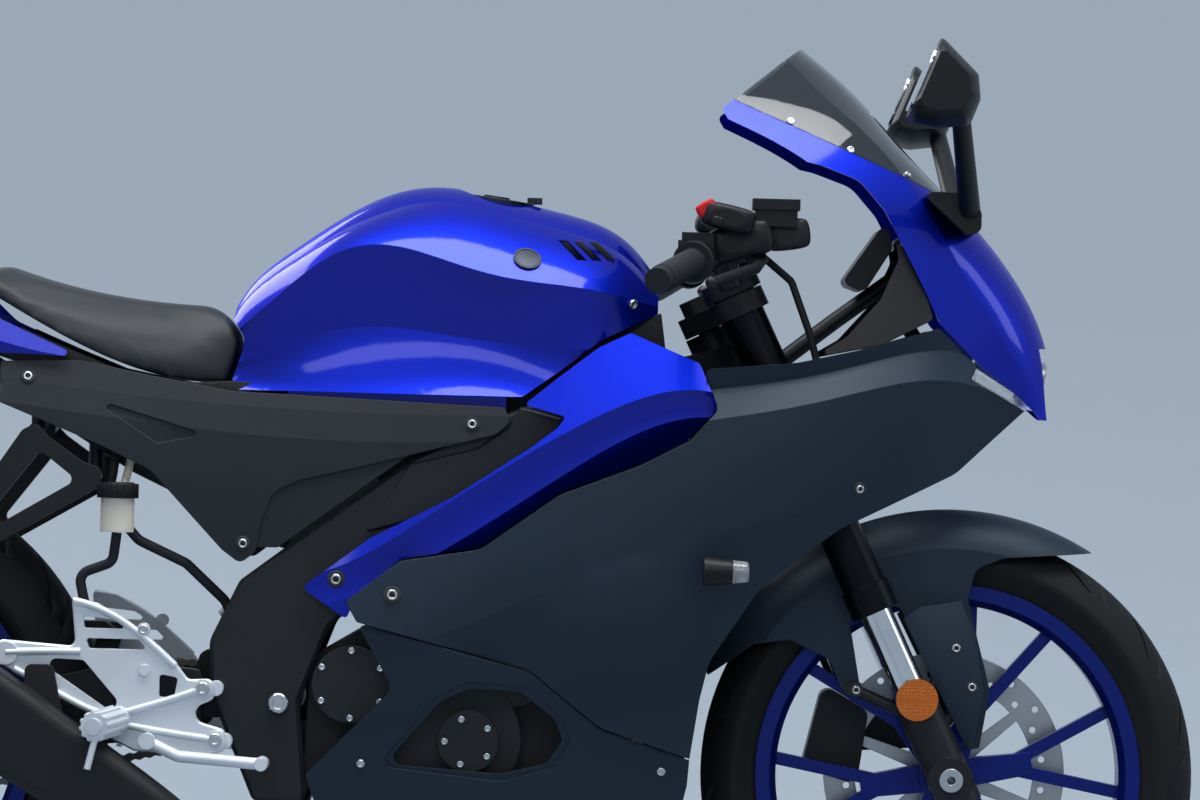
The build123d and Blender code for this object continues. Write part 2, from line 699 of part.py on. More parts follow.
def make_radiator():
    """Core with louvred fins between two side tanks, hung under the steering head."""
    low, high, depth = Vector(-352, 0, 330), Vector(-318, 0, 610), 30.0
    tilt = degrees(atan2(high.X - low.X, high.Z - low.Z))
    length = (high - low).length
    half = 118.0
    core = Box(depth, 2 * half - 44, length)
    tanks = [Pos(0, side * (half - 12), 0) * Box(depth + 8, 24, length - 8) for side in (-1, 1)]
    radiator = core + tanks
    fin_count, fin_depth = 16, 4.0
    for i in range(fin_count):
        z = -length / 2 + (i + 0.5) * length / fin_count
        radiator = radiator - Pos(depth / 2, 0, z) * Box(2 * fin_depth, 2 * half - 60,
                                                         length / fin_count * 0.5)
    placed = Pos(*((low + high) * 0.5)) * Rot(0, tilt, 0) * radiator
    posts = [rod((high.X, y, high.Z - 12), (high.X, y, neck_low(high.X) - 1.8), 7) for y in (-52, 52)]
    return whole(whole(placed).fuse(*posts))


def neck_low(x):
    """Height of the neck's lower edge, from the spars to the steering head."""
    return 672 + (704 - 672) * (x + 420) / (-272 + 420)


def make_exhaust_header():
    """Pipe from the head's front face down behind the radiator and back under the engine."""
    port = Vector(-404.6, -30, 592)
    forward = Vector(0.954, 0, -0.301)
    start = port + forward * fit_gap
    pipe = tube([start, port + forward * 32, (-386, -30, 260), (-430, -36, 187.5), (-700, -44, 187.5),
                 (-780, -70, 192),
                 silencer_foot], 15, 28)
    flange = rod(start, port + forward * 12, 25)
    along = (silencer_tip - silencer_foot).normalized()
    return whole(pipe.fuse(flange) - rod(silencer_foot, silencer_foot + along * 60, 60))


silencer_foot = Vector(-862, -166, 168)
silencer_tip = Vector(-1226, -202, 406)


def make_silencer():
    """Stubby silencer that rises beside the rear wheel, with a slash-cut tail and its outlet."""
    along = (silencer_tip - silencer_foot).normalized()
    sections = []
    for distance, width, height in ((fit_gap, 40, 44), (80, 76, 82), (200, 86, 94), (330, 92, 104),
                                    (420, 84, 92)):
        plane = Plane(silencer_foot + along * distance, x_dir=(0, 1, 0), z_dir=along)
        sections.append(plane * RectangleRounded(width, height, 16))
    can = whole(loft(sections))
    end = silencer_foot + along * 416
    outlet = rod(end, end + along * 34, 24) - rod(end, end + along * 40, 20)
    hanger = prism([(-1100, 350), (-1098, 408, 8), (-1066, 408, 8), (-1050, 340)],
                   -peg_plate_outer - 10 - fit_gap,
                   -peg_plate_outer - fit_gap)
    return whole(can.fuse(whole(outlet), hanger))


def make_side_stand():
    """Leg, pivot boss and foot; the foot's sole lies on the road when the bike leans."""
    pivot = Vector(*stand_pivot)
    foot = stand_foot()
    leg = rod(pivot, foot, stand_leg_radius)
    boss = rod(pivot - stand_axis() * stand_boss_half, pivot + stand_axis() * stand_boss_half, 17)
    bore = rod(pivot - stand_axis() * 40, pivot + stand_axis() * 40, stand_pin_radius + running_gap)
    tang = rod(pivot + (foot - pivot) * 0.55, pivot + (foot - pivot) * 0.55 + Vector(36, 18, 0), 5)
    road_up = Vector(0, -sin(radians(lean)), cos(radians(lean)))
    sole = foot - road_up * sole_rise
    pad = rod(sole, sole + road_up * 8, 27)
    stand = leg.fuse(boss, tang, pad)
    below = rod(sole - road_up * 100, sole, 120)
    return whole(stand - below - bore)


sole_rise = 12.0


def stand_foot():
    """The middle of the stand's foot, one sole height above the leaning road."""
    slope = radians(lean)
    return Vector(stand_foot_x, stand_foot_y,
                  stand_foot_y * tan(slope) + (sole_rise + road_drop) / cos(slope))


def stand_axis():
    down = (stand_foot() - Vector(*stand_pivot)).normalized()
    return down.cross(Vector(*stand_fold_direction).normalized()).normalized()


road_drop = -rear_crown * (1 - cos(radians(lean)))


# Chain


def make_chain():
    """The chain as one loop of waisted links round both sprockets."""
    rear_pitch = chain_pitch / 2 / sin(pi / rear_teeth)
    front_pitch = chain_pitch / 2 / sin(pi / front_teeth)
    front = Vector(front_sprocket_x, 0, front_sprocket_z)
    span = front - rear_axle
    distance = sqrt(span.X**2 + span.Z**2)
    heading = atan2(span.Z, span.X)
    wrap = acos((rear_pitch - front_pitch) / distance)
    straight = distance * sin(wrap)
    front_arc = 2 * wrap * front_pitch
    length = 2 * straight + front_arc + 2 * (pi - wrap) * rear_pitch

    def place(run):
        """The point of the pitch line after a run along it, and the way out of the loop there."""
        middle, radius, angle, along = rear_axle, rear_pitch, heading + wrap, run
        if run > 2 * straight + front_arc:
            angle, along = heading - wrap - (run - 2 * straight - front_arc) / rear_pitch, 0
        elif run > straight + front_arc:
            middle, radius, angle, along = front, front_pitch, heading - wrap, run - straight - front_arc
        elif run > straight:
            middle, radius, angle, along = front, front_pitch, heading + wrap - (run - straight) / front_pitch, 0
        out = Vector(cos(angle), 0, sin(angle))
        return middle + out * radius + Vector(sin(angle), 0, -cos(angle)) * along, out

    links = round(length / chain_pitch)
    outer, inner = [], []
    for i in range(2 * links):
        point, out = place(length * i / (2 * links))
        reach = chain_height / 2 - (chain_waist if i % 2 else 0)
        outer.append(point + out * reach)
        inner.append(point - out * reach)
    bands = []
    for points in (outer, inner):
        face = Pos(0, chain_y - chain_width / 2, 0) * make_face(Polyline(*points, close=True))
        bands.append(extrude(face, amount=chain_width, dir=(0, 1, 0)))
    return whole(bands[0] - bands[1])


# Tank and seats

# x, top height, ridge half-width and drop, crease half-width and height, half-width at waist and foot
tank_stations = [
    (-868, 838, 40, 8, 88, 800, 86, 90),
    (-815, 898, 52, 14, 122, 850, 100, 108),
    (-750, 944, 64, 18, 146, 900, 106, 122),
    (-700, 972, 68, 20, 154, 914, 106, 128),
    (-630, 988, 72, 20, 160, 902, 108, 134),
    (-560, 979, 74, 20, 164, 882, 114, 138),
    (-485, 962, 72, 22, 158, 872, 130, 140),
    (-415, 938, 60, 22, 128, 862, 120, 128),
    (-362, 880, 36, 12, 84, 850, 86, 88),
]
tank_low = 738.0
# x, height and rounding of the line where the seat's nose meets the tank
seat_nose = [(-884, 846, 0), (-852, 797, 25), (-868, 750, 8)]


def make_tank():
    """The tank cover: a sculpted hull with a knee recess under its shoulder crease, and the cap's well."""
    wires = []
    for x, top, ridge, drop, crease, crease_z, waist, foot in tank_stations:
        waist_z = tank_low + (crease_z - tank_low) * 0.45
        right = [(-ridge, top - drop), (-crease, crease_z), (-waist, waist_z), (-foot, tank_low)]
        left = [(-y, z) for y, z in reversed(right)]
        bulges = [8, -4, -5, 0, -5, -4, 8, drop]
        corners = [((x, y, z), bulge) for (y, z), bulge in zip(right + left, bulges)]
        wires.append(closed_wire(corners))
    hull = Solid.make_loft(wires)
    keep = prism([(-864, tank_low), (-529, tank_low - 6), (-474, 772, 20), (-428, 808, 20), (-352, 846),
                  (-352, 1050), (-900, 1050)] + seat_nose, -300, 300)
    tank = whole(hull & keep)
    hem = box((-800, -104, tank_low - 26), (-540, -96, tank_low + 4))
    tank = tank.fuse(hem, mirrored(hem)) - cap_well()
    for i in range(vent_count):
        x = vent_x + i * vent_pitch
        slot = prism([(x, 926), (x + 12, 926), (x + 36, 902), (x + 24, 902)], -170, -vent_floor)
        tank = tank - slot - mirrored(slot)
    return whole(tank)


def cap_seat():
    """The middle of the cap's top face, and the tank's slope there."""
    return Vector(cap_x, 0, 972.0), Vector(0.13, 0, 1).normalized()


def cap_well():
    top, normal = cap_seat()
    return rod(top - normal * (cap_depth + fit_gap), top + normal * 60, cap_radius + cap_clearance)


def make_fuel_cap():
    top, normal = cap_seat()
    lid = rod(top - normal * cap_depth, top + normal * 4, cap_radius)
    lock = rod(top + normal * 4, top + normal * 7, 16)
    hinge = cap_hinge()
    ear = box(hinge - Vector(14, 9, 4), hinge + Vector(4, 9, 4))
    barrel = rod(hinge - lateral * 11, hinge + lateral * 11, 4)
    return whole(lid.fuse(lock, ear, barrel))


def cap_hinge():
    top, normal = cap_seat()
    fore = Vector(normal.Z, 0, -normal.X)
    return top + fore * (cap_radius + 5) + normal * 9


def seat_solid(rows):
    """A seat as a loft; each row is x, top height, base height and half-width."""
    wires = []
    for x, top, base, half in rows:
        middle = (top + base) / 2
        corners = [((x, -half * 0.72, top - 5), 4), ((x, -half, middle), 0), ((x, -half, base), 0),
                   ((x, half, base), 0), ((x, half, middle), 4), ((x, half * 0.72, top - 5), 5)]
        wires.append(closed_wire(corners))
    return Solid.make_loft(wires)


rider_rows = [(-840, 836, 749, 74), (-960, 838, 750, 114), (-1060, 853, 788, 128), (-1160, 884, 842, 112)]
pillion_rows = [(-1186, 908, 872, 84), (-1280, 918, 880, 92), (-1400, 926, 900, 74), (-1448, 924, 908, 54)]


def make_rider_seat():
    """The rider's seat, its nose rounded to lie against the tank."""
    nose = [(x - panel_gap, z, rounding) for x, z, rounding in seat_nose]
    keep = prism([(-884 - panel_gap, 900), (-1300, 900), (-1300, 700),
                  (-868 - panel_gap, 700)] + nose[::-1], -300, 300)
    return whole(seat_solid(rider_rows) & keep)


# Side panels of the right side; the left ones are their mirror images

# x, then distance out and height of each corner from the top edge down
fairing_stations = [
    (100, [(30, 776), (50, 768), (47, 756), (57, 742, -2), (40, 700), (36, 500), (34, 280), (30, 240)]),
    (20, [(30, 850), (104, 830), (100, 800), (122, 764, 2), (96, 690, -4), (60, 500), (50, 280), (30, 240)]),
    (-60, [(30, 860), (152, 836), (145, 802), (168, 768, 3), (151, 660, -4), (110, 480), (100, 280),
           (30, 240)]),
    (-160, [(30, 840), (182, 810), (171, 776), (198, 744, 3), (190, 620, -6), (150, 430), (140, 280),
            (30, 240)]),
    (-300, [(30, 810), (202, 790), (189, 752), (216, 716, 2), (216, 580, 6), (178, 380), (168, 270),
            (30, 240)]),
    (-470, [(30, 740), (176, 720), (190, 690), (208, 650, 2), (212, 520, 6), (180, 350), (168, 270),
            (30, 240)]),
    (-630, [(30, 660), (164, 640), (174, 610), (189, 556, 2), (194, 450, 6), (174, 340), (164, 270),
            (30, 240)]),
    (-800, [(30, 620), (140, 600), (150, 570), (160, 515, 2), (164, 420, 4), (154, 320), (148, 270),
            (30, 240)]),
]
# The border between the fairing and the shoulder panel above it
border = [(-289, 729, 10), (-321, 692, 20), (-379, 661, 40), (-473, 624, 40), (-565, 557, 30),
          (-659, 541, 20)]
window = [(-672, 300, 10), (-606, 378, 16), (-573, 393, 20), (-514, 391, 20), (-472, 359, 12),
          (-462, 334, 10),
          (-480, 306, 12), (-535, 292, 20)]
# The seam between the fairing and the lower cowl, from the front
cowl_seam = [(-312, 316, 0), (-418, 350, 40), (-502, 416, 40), (-708, 468, 4)]


def make_side_fairing():
    """Matte panel with a hollow under its top edge, down to the lower cowl's seam."""
    outline = [(-306, 776, 6), (-195, 787, 60), (-113, 806, 60), (-29, 832, 6), (23, 785, 30), (88, 745, 4),
               (-3, 660, 60), (-143, 591, 60), (-235, 519, 60), (-292, 432, 30), (-302, 387, 30)]
    outline += cowl_seam + [(-722, 492, 6)] + border[::-1]
    panel = skin(fairing_stations, prism(outline, -400, 0), wall, [(-667, 501, 104 + fit_gap, 9)])
    lamp_room = [(17.5, 790), (92, 744.7), (80.1, 736.5), (11.5, 772.6)]
    return whole(panel - prism(lamp_room, -400, 0))


# x, then distance out and height of top edge, crease and lower edge
shoulder_stations = [
    (-270, [(20, 832), (140, 824), (197, 742, -2), (187, 716), (170, 690), (20, 660)]),
    (-400, [(20, 852), (138, 840), (191, 732, -3), (182, 690), (158, 638), (20, 616)]),
    (-480, [(20, 802), (137, 792), (185, 690, -3), (176, 640), (156, 588), (20, 566)]),
    (-560, [(20, 742), (136, 732), (176, 640, -3), (168, 586), (150, 538), (20, 516)]),
    (-700, [(20, 642), (140, 632), (161, 548, -2), (157, 504), (150, 458), (20, 440)]),
    (-800, [(20, 602), (140, 592), (152, 520, -2), (150, 478), (146, 428), (20, 410)]),
]


def make_shoulder_panel():
    """Gloss panel from the fairing's border up to the tank's lower edge, creased along its length."""
    outline = [(x, z + panel_gap, r) for x, z, r in border]
    outline += [(-713, 491, 6), (-722, 470, 4), (-776, 506, 6), (-695, 567, 30), (-602, 616, 30),
                (-509, 678, 30),
                (-478, 702, 6), (-468, 716, 3), (-518, 729, 3), (-477, 763, 20), (-431, 799, 20),
                (-394, 817, 8),
                (-312, 783, 10)]
    return skin(shoulder_stations, prism(outline, -400, 0), wall, [(-734, 517, spar_outer + fit_gap, 9)])


# x, then distance out and height of top edge, crease and body
cover_stations = [
    (-520, [(20, 800), (126, 790), (144, 716), (147, 690, 2), (140, 500), (20, 480)]),
    (-700, [(20, 800), (118, 790), (140, 714), (145, 680, 2), (140, 500), (20, 480)]),
    (-900, [(20, 810), (112, 800), (135, 722), (141, 690, 3), (138, 500), (20, 480)]),
    (-1160, [(20, 830), (98, 820), (122, 748), (129, 720, 3), (124, 600), (20, 560)]),
]


def make_side_cover():
    """Satin cover under the seat and tank, with its blind triangular scoop and the sunk field by the spar."""
    outline = [(-1141, 765), (-1046, 768, 40), (-962, 752, 60), (-866, 736, 40), (-541, 725, 8),
               (-534, 708, 8),
               (-550, 693, 10), (-699, 653, 30), (-781, 633, 20), (-812, 618, 16), (-826, 584, 20),
               (-832, 546, 10),
               (-850, 532, 10), (-872, 548, 12), (-959, 640, 40), (-1019, 668, 40), (-1141, 716)]
    bosses = [(-840, 695.5, 104.4, 8), (-1040, 749, 96.8, 8)]
    panel = skin(cover_stations, prism(outline, -400, 0), wall, bosses)
    panel = panel - prism([(-1034, 724, 4), (-893, 684, 4), (-952, 672, 4)], -400, -100)
    scoop = [(-1048, 736, 6), (-876, 684, 6), (-952, 656, 6)]
    field = [(-640, 672, 0), (-699, 662, 0), (-786, 642, 0), (-822, 622, 0), (-835, 584, 0), (-838, 552, 4),
             (-806, 552, 6), (-650, 668, 0)]
    for sunk, step in ((scoop, wall - 0.5), (field, wall - 0.5)):
        floor = skin(cover_stations, prism(sunk, -400, 0), wall)
        panel = panel.fuse(floor.moved(Location((0, step, 0))))
    return whole(panel)


tail_stations = [
    (-1030, [(20, 850), (116, 840), (130, 770, 2), (112, 740), (20, 730)]),
    (-1180, [(20, 892), (110, 882), (124, 800, 2), (104, 764), (20, 750)]),
    (-1340, [(20, 930), (94, 920), (108, 852, 2), (88, 812), (20, 800)]),
    (-1470, [(20, 946), (70, 936), (82, 884, 2), (66, 850), (20, 840)]),
    (-1560, [(20, 942), (44, 932), (52, 902, 2), (44, 884), (20, 880)]),
]


def make_tail_panel():
    outline = [(-1046, 772, 4), (-1144, 815, 40), (-1200, 868, 20), (-1280, 884, 60), (-1420, 906, 40),
               (-1556, 918, 6),
               (-1556, 888, 6), (-1440, 846, 40), (-1300, 806, 40), (-1180, 776, 40)]
    return skin(tail_stations, prism(outline, -400, 0), wall, [(-1238, 807, 84.7, 7)])


def make_rear_fender():
    """Undertray that closes the tail, with the arm that carries the number plate."""
    tray = prism([(-1180, 800), (-1230, 838, 20), (-1420, 888, 20), (-1520, 904, 4), (-1520, 884, 4),
                  (-1420, 842, 40),
                  (-1240, 776, 30), (-1190, 770, 20)], -44, 44)
    x, z = tail_cross
    tray = tray - rod((x, -100, z), (x, 100, z), 9 + fit_gap)
    arm = prism([(-1470, 866), (-1530, 886), (-1716, 640, 20), (-1734, 560, 4), (-1722, 556, 4),
                 (-1696, 630, 20),
                 (-1600, 740, 40), (-1470, 830)], -34, 34)
    plate_face = prism(plate_outline(), -92, 92)
    lamp_bar = rod((-1590, -118, 770), (-1590, 118, 770), 6)
    fender = tray.fuse(arm, plate_face, lamp_bar)
    middle, normal = plate_seat()
    for side in (-1, 1):
        place = middle + lateral * side * plate_hole_spacing / 2
        fender = fender - rod(place - normal * 30, place + normal * 30, plate_hole_radius)
    return whole(fender)


def plate_seat():
    """The middle of the plate carrier's rear face and its outward direction."""
    normal = Vector(-cos(radians(22)), 0, sin(radians(22)))
    return Vector(-1728, 0, 600), normal


def plate_outline():
    middle, normal = plate_seat()
    up = Vector(normal.Z, 0, -normal.X)
    back = normal * -6
    corners = [middle + up * 34, middle - up * 34, middle - up * 34 + back, middle + up * 34 + back]
    return [(p.X, p.Z) for p in corners]


def make_tail_lamp():
    front = -1520 - fit_gap
    return prism([(front, 900), (-1548, 910, 3), (-1590, 906, 6), (-1592, 894, 4), (-1552, 890, 3),
                  (front, 888)], -40, 40)


def make_indicators():
    """Four blinker pods on short stalks: two on the fairing, two on the plate arm."""
    pods = []
    for side in (-1, 1):
        root = Vector(-282, side * 210.7, 540)
        body = cone(root, root + Vector(4, side * 22, 0), 14, 12)
        pod = Pos(*(root + Vector(6, side * 36, 0))) * Rot(0, 90, 0) * Solid.make_cone(18, 12, 54,
                                                                                       Plane((0, 0, -27)))
        pods.append(whole(body.fuse(pod)))
        root = Vector(-1590, side * (118 + fit_gap), 770)
        pod = Pos(*(root + Vector(0, side * 26, 0))) * Rot(0, 90, 0) * Solid.make_cone(12, 18, 54,
                                                                                       Plane((0, 0, -27)))
        pods.append(whole(cone(root, root + Vector(0, side * 20, 0), 8, 11).fuse(pod)))
    return pods


# x, then distance out and height of each corner from the seam down to the keel
cowl_stations = [
    (-300, [(4, 560), (204, 548, 5), (173, 380), (163, 286), (156, 240, 6), (60, 178, 4), (4, 172)]),
    (-470, [(4, 560), (206, 520, 6), (175, 350), (164, 286), (156, 230, 6), (60, 164, 4), (4, 158)]),
    (-630, [(4, 540), (192, 510, 7), (169, 340), (160, 286), (151, 230, 6), (58, 164, 4), (4, 158)]),
    (-800, [(4, 540), (162, 500, 4), (149, 320), (144, 286), (133, 240, 6), (54, 172, 4), (4, 166)]),
]
lip_width = 9.0
lip_step = 3.5


def make_lower_cowl():
    """Right half of the belly pan with its stepped window; it meets its twin along the keel."""
    hull = Solid.make_loft([station(x, corners) for x, corners in cowl_stations])
    shell = hull - hull.moved(Location((0, wall, wall)))
    outline = [(x, z - panel_gap, rounding) for x, z, rounding in cowl_seam]
    outline += [(-664, 390, 16), (-723, 329, 12), (-766, 284, 4), (-744, 222, 20), (-700, 140), (-400, 140),
                (-330, 214, 30), (-314, 284, 10)]
    panel = whole(shell & prism(outline, -400, -panel_gap)) - prism(spread(window, lip_width), -400, -60)
    lip = whole(shell & prism(spread(window, lip_width + 4), -400, -60)) - prism(window, -400, -60)
    boss = rod((-490, -200, 262), (-490, -104 - fit_gap, 262), 8) & hull
    return whole(panel.fuse(whole(lip).moved(Location((0, lip_step, 0))), whole(boss)))


# Nose, screen and cockpit

# height, tip x, side x, side half-width, rear x, rear half-width
nose_levels = [
    (715, 130, 70, 62, 0, 104),
    (800, 110, 46, 92, -40, 140),
    (890, 70, 4, 112, -90, 156),
    (990, -14, -58, 116, -150, 154),
    (1085, -104, -146, 106, -310, 142),
    (1175, -208, -240, 88, -340, 118),
]


def nose_hull(inset):
    wires = []
    for z, tip, side_x, side, rear_x, rear in nose_levels:
        right = Vector(side_x - inset, -side + inset, z)
        left = Vector(side_x - inset, side - inset, z)
        back_right = Vector(rear_x - inset * 4, -rear + inset, z)
        back_left = Vector(rear_x - inset * 4, rear - inset, z)
        wires.append(Wire([
            Edge.make_line(back_right, right),
            Edge.make_three_point_arc(right, Vector(tip - inset * 1.3, 0, z), left),
            Edge.make_line(left, back_left),
            Edge.make_line(back_left, back_right),
        ]))
    return Solid.make_loft(wires)


nose_split = 52.0
screen_line = [(-279, 1097), (-20, 988)]


def make_nose_panels():
    """The nose centre, and its right side panel that runs up beside the screen."""
    shell = nose_hull(0) - nose_hull(wall)
    outline = [(-293, 1086, 6), screen_line[0], screen_line[1], (150, 988), (150, 726), (102, 726, 4),
               (68, 756, 30),
               (26, 786, 20), (-28, 838, 20), (-47, 877, 60), (-97, 970, 40), (-128, 1005, 40),
               (-175, 1022, 40), (-247, 1037, 30), (-277, 1060, 10)]
    cowl = whole(shell & prism(outline, -400, 400))
    lamp_cut = box((40, -46, 700), (200, 46, 812))
    centre = whole((cowl & box((-400, -nose_split, 600), (400, nose_split, 1300))) - lamp_cut)
    side = whole(cowl & box((-400, -400, 600), (400, -nose_split - 1, 1300)))
    boss = rod((-70, -160, 935), (-70, -92 - fit_gap, 935), 7) & nose_hull(1)
    return centre, whole(side.fuse(whole(boss)))


def make_windscreen():
    shell = nose_hull(1) - nose_hull(4)
    (x0, z0), (x1, z1) = screen_line
    outline = prism([(x0, z0 + fit_gap), (x1, z1 + fit_gap), (80, z1 + fit_gap), (80, 1250), (-150, 1250),
                     (-196, 1166)], -400, 400)
    return whole(shell & outline)


lamp_strip = [(18, 786), (66, 757), (60, 747.6), (12, 773)]


def make_headlamps():
    """The projector under the nose and the two slim position lamps at the fairing's top edge."""
    lens = rod((66, 0, 772), (104, 0, 766), 30)
    case = box((20, -42, 738), (72, 42, 808))
    strip = skin(fairing_stations, prism(lamp_strip, -400, 0), wall)
    return [whole(lens.fuse(case))] + both_sides(strip)


stay_knee = Vector(-150, 0, 838)
stay_tip = Vector(-70, 0, 898)


def make_cowl_stay():
    """Steel stay from the steering head that carries the nose, the dash and the lamp."""
    hub = stem_point((lower_yoke + upper_yoke) / 2)
    root = hub + fore_fork * (head_tube_radius + fit_gap)
    main = tube([root, stay_knee, stay_tip], 10, 40)
    cross = rod((stay_tip.X, -92, 935), (stay_tip.X, 92, 935), 8)
    post = rod(stay_tip, (stay_tip.X, 0, 935), 9)
    lamp_arm = tube([(-90, 0, 880), (-20, 0, 774), (20 - fit_gap, 0, 774)], 9, 24)
    return whole(main.fuse(cross, post, lamp_arm) - rod(hub - up_fork * 90, hub + up_fork * 90,
                                                        head_tube_radius + fit_gap))


def make_dash():
    """Instrument pod facing the rider, notched where the stay passes."""
    outline = [(-90, 964, 8), (-144, 884, 8), (-116, 874, 10), (-84, 926, 10)]
    return whole(prism(outline, -78, 78) - rod(stay_knee, stay_tip, 10 + fit_gap))


def make_inner_cowl():
    """Right-hand dark panel between the nose side and the cockpit."""
    stations = [
        (-190, [(20, 830), (120, 826), (150, 790), (20, 780)]),
        (-100, [(20, 960), (112, 950), (146, 810), (20, 800)]),
        (-20, [(20, 990), (108, 980), (136, 826), (20, 820)]),
    ]
    outline = prism([(-86, 952, 4), (-42, 866, 20), (-36, 842, 6), (-97, 810, 60), (-182, 792, 4),
                     (-139, 818, 20),
                     (-99, 864, 20), (-78, 913, 10)], -400, 0)
    return skin(stations, outline, wall)


mirror_middle = Vector(-64, -320, 1118)
mirror_tilt = 22.0
# x and height of the shell's side outline, from its middle
shell_outline = [(-46, -34, 8), (-9, 57, 8), (39, 10, 10), (42, -19, 10), (31, -48, 10), (-9, -53, 20),
                 (-38, -47, 6)]


def mirror_plane(depth):
    """The plane of the right mirror's glass, so far in front of the shell's rim."""
    normal = Vector(-cos(radians(mirror_tilt)), 0, sin(radians(mirror_tilt)))
    return Plane(mirror_middle + normal * depth, x_dir=(0, 1, 0), z_dir=normal)


def make_mirrors():
    """Right mirror: base on the nose, stalk and shell."""
    base = prism([(-56, 994, 6), (-10, 994, 10), (18, 972, 10), (18, 946, 10), (0, 944, 8)], -142, -60)
    base = base - nose_hull(-fit_gap)
    stalk = cone((4, -134, 972), (-18, -282, 1084), 13, 11)
    sections = []
    for y, scale in ((-238, 0.6), (-262, 0.88), (-312, 1.0), (-366, 0.94), (-396, 0.66)):
        corners = [(-40 + x * scale, 1114 + z * scale, r * scale) for x, z, r in shell_outline]
        sections.append(Pos(0, y, 0) * side_face(corners))
    shell = loft(sections) - extrude(mirror_plane(0) * Rectangle(400, 400), amount=100)
    return whole(base.fuse(stalk, whole(shell)))


def make_mirror_glass():
    return whole(extrude(mirror_plane(fit_gap) * RectangleRounded(132, 78, 24), amount=3))


def make_rider_pegs():
    """Cast right-hand bracket with its heel guard, slots and folding peg."""
    plate = prism([(-1046, 486, 4), (-1016, 482, 6), (-964, 452, 10), (-920, 412, 16), (-906, 394, 8),
                   (-876, 396, 10),
                   (-874, 372, 10), (-920, 352, 12), (-862, 336, 8), (-858, 312, 10), (-880, 304, 8),
                   (-968, 308, 12),
                   (-996, 322, 10), (-1010, 344, 8), (-1124, 404, 8), (-1140, 418, 8), (-1130, 436, 8),
                   (-1040, 430, 8)], -peg_plate_outer, -peg_plate_outer + 10)
    plate = softened(plate, 2)
    cuts = [[(-1032, 466, 3), (-990, 462, 3), (-980, 452, 3), (-1030, 452, 3)],
            [(-1028, 440, 3), (-966, 440, 3), (-954, 428, 3), (-1024, 428, 3)],
            [(-940, 400, 4), (-918, 396, 4), (-922, 374, 4), (-940, 372, 4)],
            [(-1090, 416, 8), (-1030, 414, 8), (-984, 362, 8), (-1000, 356, 8)]]
    for cut in cuts:
        plate = plate - prism(cut, -200, -100)
    peg = cone((-985, -160, 346), (-1010, -262, 340), 15, 10)
    stays = [rod((x, -160, z), (x, -spar_outer - fit_gap, z), 9) for x, z in ((-874, 384), (-862, 322))]
    bosses = [rod((x, -peg_plate_outer + 2, z), (x, -peg_plate_outer - 4, z), radius)
              for x, z, radius in ((-888, 384, 11), (-872, 324, 11), (-1122, 420, 14), (-958, 404, 7),
                                   (-960, 452, 8))]
    return whole(plate.fuse(peg, *stays, *bosses))


def make_foot_controls():
    """Brake pedal on the right and gear lever on the left, each on its pivot."""
    levers = []
    for side in (-1, 1):
        y = side * (peg_plate_outer + 16)
        pivot = rod((-952, side * (peg_plate_outer + fit_gap), 321),
                    (-952, side * (peg_plate_outer + 24), 321), 10)
        lever = tube([(-952, y, 321), (-915, y, 304), (-826, y, 298)], 7, 20)
        pad = rod((-816, y - 22, 298), (-816, y + 22, 298), 8)
        levers.append(whole(pivot.fuse(lever, pad, rod((-830, y, 298), (-812, y, 298), 7))))
    return levers


def make_pillion_pegs():
    """Right-hand open bracket under the tail with its folding peg."""
    frame = prism([(-1096, 692, 8), (-1080, 676, 6), (-1040, 648, 6), (-1016, 640, 8), (-1020, 618, 8),
                   (-1180, 524, 8),
                   (-1204, 524, 8), (-1204, 546, 6), (-1112, 684, 8)], -pillion_plate_inner - 12,
                  -pillion_plate_inner)
    hole = prism([(-1090, 660, 8), (-1046, 626, 8), (-1176, 548, 8)], -200, -100)
    peg = cone((-1192, -136, 534), (-1204, -226, 532), 13, 9)
    return whole((frame - hole).fuse(peg))


def make_brake_reservoir():
    cup = rod((-996, -150, 566), (-996, -150, 606), 20)
    lid = rod((-996, -150, 606), (-996, -150, 622), 22)
    stay = rod((-996, -150, 588), (-985, -106, 650), 5)
    return whole(cup.fuse(lid, stay))


# x, y and height of each hose's bends
reservoir_hose = [(-996, -150, 565), (-1000, -150, 530), (-1040, -146, 515), (-1030, -146, 470)]
wiring_loom = [(-1002, -106.6, 660), (-1012, -114, 600), (-972, -118, 556), (-915, -114, 530),
               (-868, -101, 486),
               (-846, -98, 430)]
brake_hose = [(-253.1, -127.3, 924.1), (-246, -105, 918), (-204, -92, 884), (-180, -96, 820),
              (-158, -96, 740),
              (-134, -72, 672), (-136, 0, 640), (-186, 44, 596), (-196, 72, 530), (-164, 75, 462),
              (-136, 71, 400.3)]


def make_hoses():
    """The rear reservoir's hose and the wiring sleeve behind the spar, each clipped along its whole run."""
    return [tube(reservoir_hose, 6, 14), tube(wiring_loom, 6, 22)]


